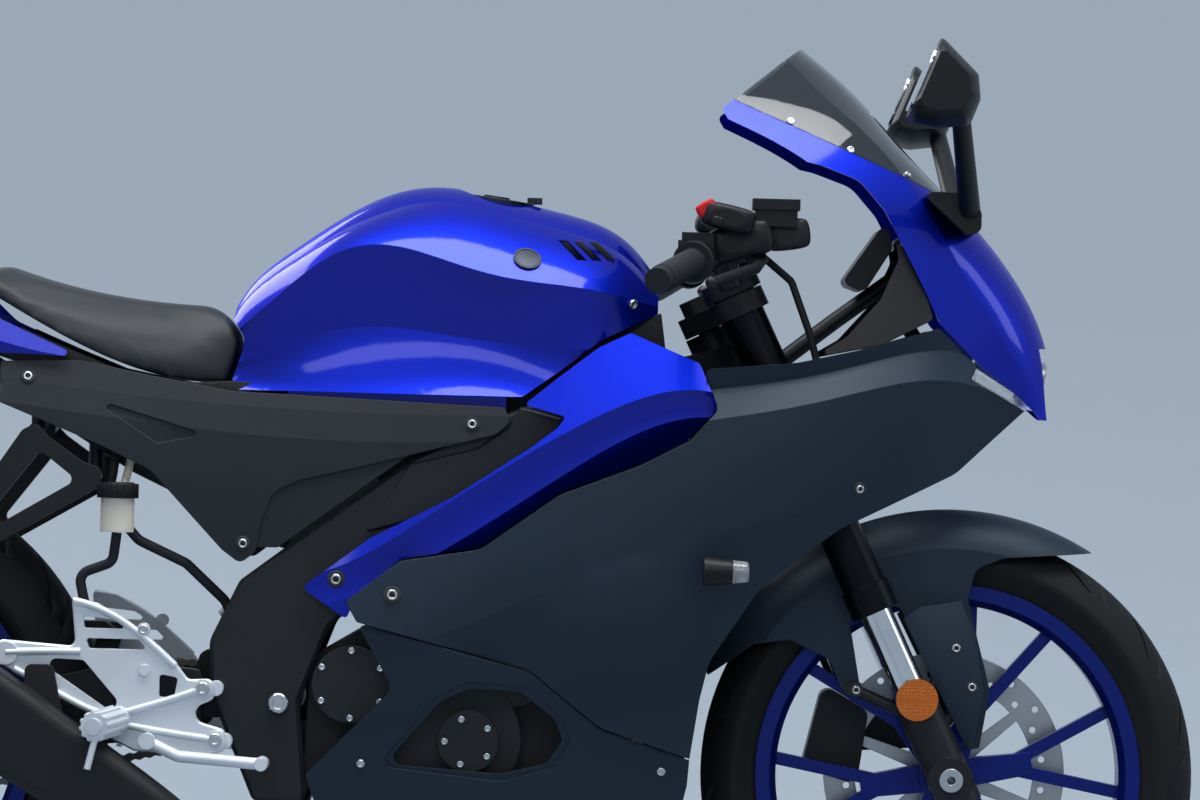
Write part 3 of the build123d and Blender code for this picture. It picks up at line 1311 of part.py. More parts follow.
def build():
    """Every node's solids, upright."""
    centre, nose_side = make_nose_panels()
    return {
        "front_tyre": [make_tyre(front_axle, front_radius, front_width, front_crown)],
        "front_rim": [make_rim(front_axle, front_width, front_hub_half)],
        "front_disc": [make_disc(front_axle, front_disc_radius, front_disc_y, front_hub_half)],
        "rear_tyre": [make_tyre(rear_axle, rear_radius, rear_width, rear_crown)],
        "rear_rim": [make_rim(rear_axle, rear_width, rear_hub_half)],
        "rear_sprocket": [make_sprocket()],
        "rear_disc": [make_disc(rear_axle, rear_disc_radius, rear_disc_y, rear_hub_half)],
        "front_axle": [make_axle(front_axle, fork_half + foot_half + 8 + fit_gap)],
        "rear_axle": [make_axle(rear_axle, arm_outer + 8 + fit_gap)],
        "fork_outer_tubes": make_fork_outer(),
        "fork_inner_tubes": make_fork_inner(),
        "fork_feet": make_fork_feet(),
        "triple_clamps": [make_triple_clamps()],
        "clip_ons": make_clip_ons(),
        "grips": make_grips(),
        "bar_controls": make_bar_controls(),
        "hand_levers": make_hand_levers(),
        "front_fender": [make_front_fender()],
        "reflectors": make_reflectors(),
        "main_frame": [make_main_frame()],
        "subframe": [make_subframe()],
        "swingarm": [make_swingarm()],
        "rear_shock": [make_rear_shock()],
        "engine": [make_engine()],
        "radiator": [make_radiator()],
        "exhaust_header": [make_exhaust_header()],
        "silencer": [make_silencer()],
        "side_stand": [make_side_stand()],
        "chain": [make_chain()],
        "tank": [make_tank()],
        "fuel_cap": [make_fuel_cap()],
        "rider_seat": [make_rider_seat()],
        "pillion_seat": [seat_solid(pillion_rows)],
        "side_fairings": both_sides(make_side_fairing()),
        "shoulder_panels": both_sides(make_shoulder_panel()),
        "side_covers": both_sides(make_side_cover()),
        "tail_panels": both_sides(make_tail_panel()),
        "rear_fender": [make_rear_fender()],
        "tail_lamp": [make_tail_lamp()],
        "indicators": make_indicators(),
        "lower_cowls": both_sides(make_lower_cowl()),
        "nose_centre": [centre],
        "nose_sides": both_sides(nose_side),
        "windscreen": [make_windscreen()],
        "headlamps": make_headlamps(),
        "cowl_stay": [make_cowl_stay()],
        "dash": [make_dash()],
        "inner_cowls": both_sides(make_inner_cowl()),
        "mirrors": both_sides(make_mirrors()),
        "mirror_glass": both_sides(make_mirror_glass()),
        "rider_pegs": both_sides(make_rider_pegs()),
        "foot_controls": make_foot_controls(),
        "pillion_pegs": both_sides(make_pillion_pegs()),
        "brake_reservoir": [make_brake_reservoir()],
        "hoses": make_hoses(),
        "brake_hose": [tube(brake_hose, 4.5, 12)],
    }


def main():
    os.makedirs("parts", exist_ok=True)
    leaning = Location((0, 0, -road_drop), (-lean, 0, 0))
    nodes = {name: [one.moved(leaning) for one in solids] for name, solids in build().items()}
    reach = Compound([one for solids in nodes.values() for one in solids]).bounding_box()
    home = Location((-(reach.min.X + reach.max.X) / 2, -(reach.min.Y + reach.max.Y) / 2, 0))
    for name, solids in nodes.items():
        placed = [one.moved(home) for one in solids]
        export_step(placed[0] if len(placed) == 1 else Compound(placed), f"parts/{name}.step")


if __name__ == "__main__":
    main()
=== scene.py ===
"""Looks of a faired sport bike that leans on its side stand: finishes for the frame's solids, and the
pieces that are modelled here. Metres. Pieces are laid out on the upright bike, with X forward from the
front axle, Y to the rider's left and Z up from the road, and then lean over with it."""

import json
import math

import bmesh
import bpy
from mathutils import Matrix, Vector


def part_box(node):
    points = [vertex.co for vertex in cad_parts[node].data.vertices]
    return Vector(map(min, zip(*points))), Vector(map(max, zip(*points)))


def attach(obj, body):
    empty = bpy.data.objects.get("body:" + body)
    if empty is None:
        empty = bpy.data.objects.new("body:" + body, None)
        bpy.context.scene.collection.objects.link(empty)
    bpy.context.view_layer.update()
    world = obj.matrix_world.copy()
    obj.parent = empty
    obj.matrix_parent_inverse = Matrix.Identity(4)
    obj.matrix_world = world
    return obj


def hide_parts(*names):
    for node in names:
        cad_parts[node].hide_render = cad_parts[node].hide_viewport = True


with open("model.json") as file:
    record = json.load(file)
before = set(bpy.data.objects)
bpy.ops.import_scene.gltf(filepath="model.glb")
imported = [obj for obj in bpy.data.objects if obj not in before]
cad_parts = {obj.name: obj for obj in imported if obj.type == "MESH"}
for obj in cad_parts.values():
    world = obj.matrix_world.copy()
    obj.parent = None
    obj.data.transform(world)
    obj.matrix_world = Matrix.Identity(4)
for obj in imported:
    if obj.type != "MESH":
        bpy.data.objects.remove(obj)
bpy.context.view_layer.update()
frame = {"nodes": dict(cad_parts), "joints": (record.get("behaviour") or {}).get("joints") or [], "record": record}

bl_info = {
    "name": "Sport bike looks",
    "version": (1, 0, 0),
    "blender": (4, 5, 0),
    "location": "View3D > Sidebar > Sport bike",
    "description": "Finishes and small pieces of a sport bike around its solid model",
    "category": "Object",
}

# The upright bike's place, from the wheel joints
JOINTS = {joint["name"]: joint for joint in frame["joints"]}
SLOTS = {part["node"]: part["material_slot"] for part in frame["record"]["subparts"]}
BODIES = frame["record"]["behaviour"]["bodies"]
BODY_OF = {node: body for body, nodes in BODIES.items() for node in nodes}
FRONT_AXLE = Vector(JOINTS["front_wheel_spin"]["pos_m"])
REAR_AXLE = Vector(JOINTS["rear_wheel_spin"]["pos_m"])
ACROSS = Vector(JOINTS["front_wheel_spin"]["axis"])
FORWARD = Vector((1, 0, 0))
UPRIGHT = FORWARD.cross(ACROSS)
FRONT_RADIUS = (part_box("front_tyre")[1].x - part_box("front_tyre")[0].x) / 2
REAR_RADIUS = (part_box("rear_tyre")[1].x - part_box("rear_tyre")[0].x) / 2
LEAN = Matrix((FORWARD, ACROSS, UPRIGHT)).transposed().to_4x4()
LEAN.translation = FRONT_AXLE - UPRIGHT * FRONT_RADIUS
MM = 0.001
# A face looks along an axis where that part of its normal is over ALONG, and aside where it is under ASIDE
ALONG, ASIDE = 0.9, 0.1
# Distance from the middle plane that lies outside every solid
OUTSIDE = 0.9


class BikeStage(bpy.types.PropertyGroup):
    """Camera, floor and light."""

    floor_colour: bpy.props.StringProperty(
        name="Floor colour", description="sRGB hex of the pale studio floor", default="#A7B5C4")
    aim: bpy.props.FloatVectorProperty(
        name="Aim", description="Point of the upright bike at the picture's middle",
        default=(-0.4285, 0.0, 0.7367), subtype="TRANSLATION", unit="LENGTH")
    distance: bpy.props.FloatProperty(
        name="Distance", description="From the camera to the bike's middle plane",
        default=8.0, unit="LENGTH")
    lens: bpy.props.FloatProperty(
        name="Lens", description="Focal length on a 36 mm sensor", default=199.0, unit="CAMERA")
    roll: bpy.props.FloatProperty(
        name="Roll", description="Turn of the picture about the view axis",
        default=math.radians(1.5), subtype="ANGLE", unit="ROTATION")


class BikeSoft(bpy.types.PropertyGroup):
    """How the seat pads are puffed up."""

    voxel: bpy.props.FloatProperty(
        name="Voxel", description="Mesh size of the pads", default=0.005, unit="LENGTH")
    rounding: bpy.props.IntProperty(
        name="Rounding", description="Smoothing passes before the pads are puffed up", default=6)
    easing: bpy.props.IntProperty(
        name="Easing", description="Smoothing passes that draw the stretched cover free of creases",
        default=14)
    shrink: bpy.props.FloatProperty(
        name="Shrink", description="How much smaller a pad starts", default=0.004, unit="LENGTH")
    pressure: bpy.props.FloatProperty(
        name="Pressure", description="Push of the foam from inside", default=4.0)
    cap: bpy.props.FloatProperty(
        name="Cap", description="Furthest that a point may move", default=0.007, unit="LENGTH")


class BikePaint(bpy.types.PropertyGroup):
    """Colours that a user would change, as sRGB hex values."""

    gloss: bpy.props.StringProperty(
        name="Gloss panels", description="Metallic blue of tank, nose and tail", default="#0820A8")
    matte: bpy.props.StringProperty(
        name="Matte panels", description="Blue grey of fairing and fender", default="#1B2938")
    rims: bpy.props.StringProperty(
        name="Rims", description="Satin blue of the cast wheels", default="#021A70")
    covers: bpy.props.StringProperty(
        name="Covers", description="Charcoal of the moulded side covers", default="#20242B")
    seat: bpy.props.StringProperty(
        name="Seat", description="Black of the seat cover", default="#1E2126")


def srgb(code):
    """Linear colour of an sRGB hex value."""
    parts = [int(code[i:i + 2], 16) / 255 for i in (1, 3, 5)]
    return [p / 12.92 if p <= 0.04045 else ((p + 0.055) / 1.055) ** 2.4 for p in parts] + [1.0]


def add(tree, kind, values=None, links=None, **options):
    """Adds one shader node with its options, socket values and links."""
    made = tree.nodes.new("ShaderNode" + kind)
    for option, value in options.items():
        setattr(made, option, value)
    for socket, value in (values or {}).items():
        made.inputs[socket].default_value = value
    for socket, source in (links or {}).items():
        tree.links.new(source, made.inputs[socket])
    return made


def start(name, colour, **sockets):
    """A new material, its shader with colour and constant sockets, and the object's own coordinates."""
    made = bpy.data.materials.new(name)
    made.use_nodes = True
    shader = made.node_tree.nodes["Principled BSDF"]
    shader.inputs["Base Color"].default_value = srgb(colour)
    for socket, value in sockets.items():
        shader.inputs[socket.replace("_", " ")].default_value = value
    place = add(made.node_tree, "TexCoord").outputs["Object"]
    return made, shader, place


def grain(made, shader, place, size_mm, depth_mm, spread=0.0, detail=2.0, drift=0.14):
    """A moulded or cast grain: bumps of that size, edges broken to a small radius, and a roughness and
    a colour that vary over the surface."""
    # Radius of the broken edges, and size of the patches that come from handling and uneven batches
    edge_mm, patch_mm = 1.6, 45
    tree = made.node_tree
    noise = add(tree, "TexNoise", {"Scale": 1 / (size_mm * MM), "Detail": detail}, {"Vector": place})
    edge = add(tree, "Bevel", {"Radius": edge_mm * MM}, samples=4)
    bump = add(tree, "Bump", {"Strength": 1.0, "Distance": depth_mm * MM},
               {"Height": noise.outputs["Fac"], "Normal": edge.outputs["Normal"]})
    tree.links.new(bump.outputs["Normal"], shader.inputs["Normal"])
    if spread:
        base = shader.inputs["Roughness"].default_value
        band = add(tree, "MapRange", {"To Min": base - spread, "To Max": base + spread},
                   {"Value": noise.outputs["Fac"]})
        tree.links.new(band.outputs["Result"], shader.inputs["Roughness"])
    patches = add(tree, "TexNoise", {"Scale": 1 / (patch_mm * MM), "Detail": 3.0}, {"Vector": place})
    level = add(tree, "MapRange", {"To Min": 1 - drift, "To Max": 1 + drift},
                {"Value": patches.outputs["Fac"]})
    tint = add(tree, "HueSaturation", {"Color": shader.inputs["Base Color"].default_value},
               {"Value": level.outputs["Result"]})
    tree.links.new(tint.outputs["Color"], shader.inputs["Base Color"])


def paint_metallic(name, colour):
    """Metallic lacquer under clear coat: fine flakes glint in the colour and the coat mirrors the lamps."""
    made, shader, place = start(name, colour, Metallic=0.94, Roughness=0.4,
                                Coat_Weight=0.5, Coat_Roughness=0.09)
    shader.inputs["Specular Tint"].default_value = srgb("#7C66FF")
    tree = made.node_tree
    # The flakes are drawn at 0.9 mm, coarser than the real 0.05 mm, so that they still show
    flakes = add(tree, "TexVoronoi", {"Scale": 1 / (0.9 * MM)}, {"Vector": place})
    tilt = add(tree, "Bump", {"Strength": 0.12, "Distance": 0.2 * MM}, {"Height": flakes.outputs["Color"]})
    tree.links.new(tilt.outputs["Normal"], shader.inputs["Normal"])
    # Orange peel of the sprayed coat, waves of 6 mm
    peel = add(tree, "TexNoise", {"Scale": 1 / (6 * MM)}, {"Vector": place})
    wave = add(tree, "Bump", {"Strength": 0.05, "Distance": 0.1 * MM}, {"Height": peel.outputs["Fac"]})
    tree.links.new(wave.outputs["Normal"], shader.inputs["Coat Normal"])
    return made


def paint_matte(name, colour):
    """Matte lacquer on moulded plastic: a soft sheen with no mirror image, and a trace of pearl."""
    made, shader, place = start(name, colour, Metallic=0.25, Roughness=0.5, Specular_IOR_Level=0.3)
    grain(made, shader, place, size_mm=1.6, depth_mm=0.02, spread=0.05, drift=0.05)
    return made


def moulded_plastic(name, colour, roughness):
    """Injection-moulded plastic with an eroded mould grain, drawn a little coarse so that it shows."""
    made, shader, place = start(name, colour, Roughness=roughness, Specular_IOR_Level=0.22)
    grain(made, shader, place, size_mm=1.4, depth_mm=0.05, spread=0.06)
    return made


def cast_metal(name, colour, roughness, metallic=0.0, coat=0.0):
    """Painted or bare casting: the sand's pebbled skin shows through the finish."""
    made, shader, place = start(name, colour, Roughness=roughness, Metallic=metallic, Coat_Weight=coat,
                                Specular_IOR_Level=0.25)
    grain(made, shader, place, size_mm=2.2, depth_mm=0.06, spread=0.06, detail=4.0)
    return made


def turned_metal(name, colour, roughness):
    """Machined or drawn metal: faint tool marks break up the reflection."""
    made, shader, place = start(name, colour, Metallic=1.0, Roughness=roughness)
    grain(made, shader, place, size_mm=1.5, depth_mm=0.01, spread=0.08, detail=6.0)
    return made


def rubber(name, colour, roughness):
    """Vulcanised rubber: nearly black, with a dull bloom in patches."""
    made, shader, place = start(name, colour, Roughness=roughness, Specular_IOR_Level=0.22)
    grain(made, shader, place, size_mm=3.0, depth_mm=0.04, spread=0.07, detail=5.0)
    return made


def leatherette(name, colour):
    """Foam-backed vinyl: a pebble grain of closed cells with soft creases between them."""
    made, shader, place = start(name, colour, Roughness=0.55, Specular_IOR_Level=0.3)
    tree = made.node_tree
    # Pebbles of 2.4 mm, twice the real ones, so that they show
    cells = add(tree, "TexVoronoi", {"Scale": 1 / (2.4 * MM)}, {"Vector": place}, feature="SMOOTH_F1")
    bump = add(tree, "Bump", {"Strength": 0.4, "Distance": 0.2 * MM}, {"Height": cells.outputs["Distance"]},
               invert=True)
    tree.links.new(bump.outputs["Normal"], shader.inputs["Normal"])
    return made


def lens_plastic(name, colour, roughness, transmission):
    """Clear or dyed acrylic: light passes through and the skin stays glossy."""
    made, shader, place = start(name, colour, Roughness=roughness, IOR=1.49,
                                Transmission_Weight=transmission, Specular_IOR_Level=0.3)
    grain(made, shader, place, size_mm=9.0, depth_mm=0.02)
    return made


def prism_lens(name, colour):
    """Reflector acrylic: rows of small moulded prisms behind a smooth face break the light into sparks, with each
    prism's middle painted lighter and its rim painted darker as painted light.
    """
    made, shader, place = start(name, colour, Roughness=0.16, IOR=1.49, Transmission_Weight=0.2)
    tree = made.node_tree
    # Prisms of 4 mm, a little larger than the real ones
    cells = add(tree, "TexVoronoi", {"Scale": 1 / (4 * MM), "Randomness": 0.3}, {"Vector": place},
                distance="CHEBYCHEV")
    facet = add(tree, "Bump", {"Strength": 0.7, "Distance": 1.2 * MM},
                {"Height": cells.outputs["Distance"]})
    tree.links.new(facet.outputs["Normal"], shader.inputs["Normal"])
    # Painted light: each prism's middle is lit to 1.1 of the amber and its rim shaded to 0.7, as painted sparks
    # and shade of the prisms
    depth = add(tree, "MapRange", {"To Min": 1.1, "To Max": 0.7}, {"Value": cells.outputs["Distance"]})
    tint = add(tree, "HueSaturation", {"Color": srgb(colour)}, {"Value": depth.outputs["Result"]})
    tree.links.new(tint.outputs["Color"], shader.inputs["Base Color"])
    return made


def brushed_disc(name, colour):
    """Ground stainless steel: fine scratches in every direction dull the mirror."""
    made, shader, place = start(name, colour, Metallic=1.0, Roughness=0.3)
    grain(made, shader, place, size_mm=0.9, depth_mm=0.015, spread=0.1, detail=8.0)
    return made


def make_finishes(paint):
    """Every finish by the record's slot name, and the last three for small pieces.

    Each has its material's name, colour and roughness, and a lens then the share of light that it passes.
    """
    return {
        "tyre": rubber("tyre_rubber", "#121416", 0.7),
        "rim_blue": cast_metal("rim_lacquer", paint.rims, 0.34, metallic=0.55, coat=0.2),
        "disc_steel": brushed_disc("ground_steel", "#A9ABAE"),
        "steel": turned_metal("zinc_plated_steel", "#B4B7BB", 0.28),
        "fork_black": turned_metal("black_anodised_alloy", "#1B1D20", 0.38),
        "fork_chrome": turned_metal("hard_chrome", "#D5D8DC", 0.08),
        "cast_black": cast_metal("black_powder_coat", "#15171A", 0.46),
        "grip_rubber": rubber("grip_rubber", "#1C1E22", 0.62),
        "control_black": moulded_plastic("control_plastic", "#101215", 0.42),
        "fairing_navy": paint_matte("matte_lacquer", paint.matte),
        "paint_blue": paint_metallic("metallic_lacquer", paint.gloss),
        "cover_grey": moulded_plastic("charcoal_polypropylene", paint.covers, 0.48),
        "frame_grey": cast_metal("satin_frame_paint", "#1B1E22", 0.42),
        "engine_grey": cast_metal("engine_enamel", "#1C1E21", 0.45),
        "radiator_alloy": turned_metal("radiator_aluminium", "#55585C", 0.42),
        "exhaust_steel": turned_metal("heated_steel", "#7A6A58", 0.32),
        "exhaust_black": cast_metal("heat_proof_paint", "#191A1C", 0.5),
        "seat_vinyl": leatherette("seat_leatherette", paint.seat),
        "amber": prism_lens("amber_acrylic", "#CC6A02"),
        "lamp_clear": lens_plastic("clear_acrylic", "#E8EEF2", 0.06, 0.8),
        "lamp_red": lens_plastic("red_acrylic", "#C01018", 0.08, 0.4),
        "screen_smoke": lens_plastic("smoked_polycarbonate", "#6E757C", 0.03, 0.9),
        "mirror_silver": turned_metal("silvered_glass", "#E4E7EA", 0.02),
        "silver_alloy": cast_metal("blasted_alloy", "#D2D9E1", 0.4, metallic=0.35),
        "white_plastic": lens_plastic("translucent_polyethylene", "#E9E4D8", 0.35, 0.3),
        "chain_steel": turned_metal("oiled_steel", "#6B6A66", 0.35),
        "bolt": turned_metal("bolt_steel", "#C2C5C9", 0.24),
        "disc": turned_metal("black_nickel", "#33363C", 0.34),
        "red": moulded_plastic("signal_red", "#B4141A", 0.35),
    }


def clear():
    """Leaves nothing selected, so that the next operators act on the new piece alone."""
    bpy.ops.object.select_all(action="DESELECT")


def take(piece):
    """Links a new piece to the scene and takes it in hand, with nothing else selected."""
    clear()
    bpy.context.scene.collection.objects.link(piece)
    piece.select_set(True)
    bpy.context.view_layer.objects.active = piece


def lift(node, name):
    """A copy of a solid's mesh as a new piece in hand, with its place in its mesh."""
    solid = frame["nodes"][node]
    piece = bpy.data.objects.new(name, solid.data.copy())
    piece.data.transform(solid.matrix_world)
    take(piece)
    return piece


def edit():
    """Opens the new piece in edit mode with nothing selected."""
    bpy.ops.object.mode_set(mode="EDIT")
    bpy.ops.mesh.select_mode(type="FACE")
    bpy.ops.mesh.select_all(action="DESELECT")


def pick(test):
    """Selects the faces of the open piece whose middle and normal pass the test."""
    bpy.ops.mesh.select_all(action="DESELECT")
    open_mesh = bmesh.from_edit_mesh(bpy.context.object.data)
    for face in open_mesh.faces:
        face.select_set(test(face.calc_center_median(), face.normal))
    open_mesh.select_flush_mode()
    bmesh.update_edit_mesh(bpy.context.object.data)


def modify(kind, **options):
    """Adds a modifier to the piece in hand and applies it."""
    piece = bpy.context.object
    bpy.ops.object.modifier_add(type=kind)
    modifier = piece.modifiers[-1]
    for option, value in options.items():
        setattr(modifier, option, value)
    bpy.ops.object.modifier_apply(modifier=modifier.name)


def smooth(degrees=32.0):
    """Smooth shading up to that angle."""
    bpy.ops.object.shade_smooth_by_angle(angle=math.radians(degrees))


def turn_outwards():
    """Merges the doubles of the piece in hand and turns its faces outwards."""
    edit()
    bpy.ops.mesh.select_all(action="SELECT")
    bpy.ops.mesh.remove_doubles(threshold=0.01 * MM)
    bpy.ops.mesh.normals_make_consistent(inside=False)
    bpy.ops.object.mode_set(mode="OBJECT")


def turned(sides, radius, depth, middle, steps):
    """A round piece about Z: a cylinder whose upper end is worked step by step.

    Each step is an inset, a rise along Z, and True where that rise is a wall or False where it is a slope.
    """
    clear()
    bpy.ops.mesh.primitive_cylinder_add(vertices=sides, radius=radius, depth=depth, location=(0, 0, middle))
    edit()
    pick(lambda spot, normal: normal.z > ALONG)
    for inset, rise, wall in steps:
        bpy.ops.mesh.inset(thickness=inset)
        if wall:
            bpy.ops.mesh.extrude_region_move(TRANSFORM_OT_translate={"value": (0, 0, rise)})
        else:
            bpy.ops.transform.translate(value=(0, 0, rise))
    bpy.ops.object.mode_set(mode="OBJECT")
    smooth()
    return bpy.context.object


def unite(pieces, name):
    """Joins pieces into one of that name."""
    clear()
    for piece in pieces:
        piece.select_set(True)
    bpy.context.view_layer.objects.active = pieces[-1]
    bpy.ops.object.join()
    bpy.context.object.name = name
    return bpy.context.object


def spread_out(master, name, places):
    """Copies of the master with meshes of their own, moved to their places and joined; the master goes."""
    twins = []
    for place in places:
        twin = master.copy()
        twin.data = master.data.copy()
        twin.data.transform(place @ master.matrix_basis)
        twin.matrix_basis = Matrix.Identity(4)
        bpy.context.scene.collection.objects.link(twin)
        twins.append(twin)
    bpy.data.objects.remove(master)
    return unite(twins, name)


def settle(piece, finish, slot, body):
    """Gives a finished piece its material, its slot and the body that it moves with."""
    piece.data.materials.clear()
    piece.data.materials.append(bpy.data.materials[finish])
    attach(piece, body)


def touch(node, x, z, side):
    """Where a level line from one side first meets a solid, as a matrix whose Z axis points out of it.

    x and z are millimetres of the upright bike.
    """
    solid = frame["nodes"][node]
    back = solid.matrix_world.inverted()
    start_point = back @ (LEAN @ Vector((x * MM, side * OUTSIDE, z * MM)))
    way = (back.to_3x3() @ LEAN.to_3x3() @ Vector((0, -side, 0))).normalized()
    hit, spot, normal = solid.ray_cast(start_point, way)[:3]
    if not hit:
        raise RuntimeError(f"no {node} at {x}, {z}")
    out = (solid.matrix_world.to_3x3() @ normal).normalized()
    return Matrix.Translation(solid.matrix_world @ spot) @ out.to_track_quat("Z", "Y").to_matrix().to_4x4()


def bar(name, points, radius):
    """A round bar along points of the upright bike, which are in millimetres as its radius is."""
    path = bpy.data.curves.new(name, "CURVE")
    path.dimensions = "3D"
    path.bevel_depth = radius * MM
    path.bevel_resolution = 3
    path.use_fill_caps = True
    spline = path.splines.new("NURBS")
    spline.points.add(len(points) - 1)
    for point, spot in zip(spline.points, points):
        point.co = (*(LEAN @ (spot * MM)), 1.0)
    spline.order_u = 3
    spline.use_endpoint_u = True
    take(bpy.data.objects.new(name, path))
    bpy.ops.object.convert(target="MESH")
    turn_outwards()
    smooth(50.0)
    return bpy.context.object


class BIKE_OT_finishes(bpy.types.Operator):
    """Give every solid of the frame the finish of its slot"""

    bl_idname = "bike.finishes"
    bl_label = "Finishes"

    def execute(self, context):
        """Assigns one material per node."""
        finishes = make_finishes(context.scene.bike_paint)
        for name, solid in frame["nodes"].items():
            solid.data.materials.clear()
            solid.data.materials.append(finishes[SLOTS[name]])
        # The fuel cap's alloy is plated dark
        frame["nodes"]["fuel_cap"].data.materials[0] = finishes["disc"]
        return {"FINISHED"}


class BIKE_OT_seats(bpy.types.Operator):
    """Pad the rider's and the pillion's seat: foam under stretched leatherette"""

    bl_idname = "bike.seats"
    bl_label = "Seats"

    def execute(self, context):
        """Swells each seat's solid a little, as cloth over foam."""
        for node in ("rider_seat", "pillion_seat"):
            self.cushion(context, node)
        return {"FINISHED"}

    def cushion(self, context, node):
        """One cushion: remeshed, puffed by a cloth run, held to a few millimetres, eased, subdivided."""
        soft = context.scene.bike_soft
        piece = lift(node, node + "_pad")
        modify("REMESH", mode="VOXEL", voxel_size=soft.voxel)
        modify("SMOOTH", factor=0.5, iterations=soft.rounding)
        modify("DISPLACE", strength=-soft.shrink, mid_level=0.0)
        self.puff(context, piece, soft)
        modify("SMOOTH", factor=0.5, iterations=soft.easing)
        modify("SUBSURF", levels=1)
        bpy.ops.object.shade_smooth()
        settle(piece, "seat_leatherette", "seat_vinyl", "chassis")
        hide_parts(node)

    def puff(self, context, piece, soft):
        """Pressure from inside while the base stays put; no point moves further than the cap."""
        frames = 20
        before = [vertex.co.copy() for vertex in piece.data.vertices]
        base = piece.vertex_groups.new(name="base")
        # The base is where the normal is within 60 degrees of straight down, with a cosine over a half
        down, half = -UPRIGHT, 0.5
        held = [vertex.index for vertex in piece.data.vertices if vertex.normal.dot(down) > half]
        base.add(held, 1.0, "REPLACE")
        bpy.ops.object.modifier_add(type="CLOTH")
        cloth = piece.modifiers[-1]
        cloth.settings.use_pressure = True
        cloth.settings.uniform_pressure_force = soft.pressure
        cloth.settings.vertex_group_mass = "base"
        cloth.settings.effector_weights.gravity = 0.0
        for number in range(1, frames + 1):
            context.scene.frame_set(number)
        bpy.ops.object.modifier_apply(modifier=cloth.name)
        context.scene.frame_set(1)
        for vertex, old in zip(piece.data.vertices, before):
            move = vertex.co - old
            if move.length > soft.cap:
                vertex.co = old + move.normalized() * soft.cap
        piece.vertex_groups.clear()


class BIKE_OT_tyres(bpy.types.Operator):
    """Cut the slanted rain grooves into both tyres"""

    bl_idname = "bike.tyres"
    bl_label = "Tyre grooves"

    def execute(self, context):
        """Both tyres keep their form; the grooves are cut round it."""
        # node, axle, tyre radius, half-width of the grooved band in mm, grooves a side
        rows = (
            ("front_tyre", FRONT_AXLE, FRONT_RADIUS, 40, 16),
            ("rear_tyre", REAR_AXLE, REAR_RADIUS, 56, 16),
        )
        for node, axle, radius, half, count in rows:
            self.cut(node, axle, radius, half, count)
        return {"FINISHED"}

    def groove(self, node, axle, radius, spots):
        """A tapered round cutter along points on the tyre.

        Each point is an angle round the axle, a distance across in mm and a share of the full width.
        """
        # The cutter's radius, and how far outside the tyre its points are looked for
        cutter_radius, clearance = 3.0 * MM, 20 * MM
        solid = frame["nodes"][node]
        back = solid.matrix_world.inverted()
        clear()
        bpy.ops.curve.primitive_nurbs_path_add()
        path = bpy.context.object
        path.data.bevel_depth = cutter_radius
        path.data.bevel_resolution = 1
        path.data.resolution_u = 5
        path.data.use_fill_caps = True
        spline = path.data.splines[0]
        spline.use_endpoint_u = True
        for point, (angle, across, width) in zip(spline.points, spots):
            out = Matrix.Rotation(angle, 3, ACROSS) @ FORWARD
            begin = axle + out * (radius + clearance) + ACROSS * across * MM
            hit, spot = solid.ray_cast(back @ begin, back.to_3x3() @ -out)[:2]
            if not hit:
                raise RuntimeError(f"no {node} at {across}")
            point.co = (*(solid.matrix_world @ spot), 1.0)
            point.radius = width
        path.matrix_world = Matrix.Identity(4)
        bpy.ops.object.convert(target="MESH")
        return bpy.context.object

    def cut(self, node, axle, radius, half, count):
        """Cutters for both sides round the wheel, taken out of a copy of the tyre."""
        # name, start and length round the wheel in shares of a step, start and length across in shares of
        # the half-width, power of the bend across, and shares of the full width at even spaces
        grooves = (
            ("long", 0.0, 0.62, 0.12, 0.86, 0.8, (0.4, 1.0, 1.0, 0.9, 0.3)),
            ("short", 0.52, 0.3, 0.3, 0.66, 1.0, (0.3, 0.8, 0.8, 0.7, 0.3)),
        )
        step = math.tau / count
        to_axle, from_axle = Matrix.Translation(-axle), Matrix.Translation(axle)
        turns = [from_axle @ Matrix.Rotation(i * step, 4, ACROSS) @ to_axle for i in range(count)]
        cutters = []
        for side in (-1, 1):
            shift = step / 2 if side > 0 else 0.0
            for name, begin, length, inner, reach, bend, widths in grooves:
                spots = []
                for i, width in enumerate(widths):
                    share = i / (len(widths) - 1)
                    angle = shift + (begin + share * length) * step
                    across = side * half * (inner + reach * share ** bend)
                    spots.append((angle, across, width))
                master = self.groove(node, axle, radius, spots)
                cutters.append(spread_out(master, f"{node}_{name}_{side}", turns))
        piece = lift(node, node + "_tread")
        for cutter in cutters:
            modify("BOOLEAN", operation="DIFFERENCE", solver="EXACT", object=cutter)
        for cutter in cutters:
            bpy.data.objects.remove(cutter)
        smooth(30.0)
        settle(piece, "tyre_rubber", "tyre", BODY_OF[node])
        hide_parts(node)


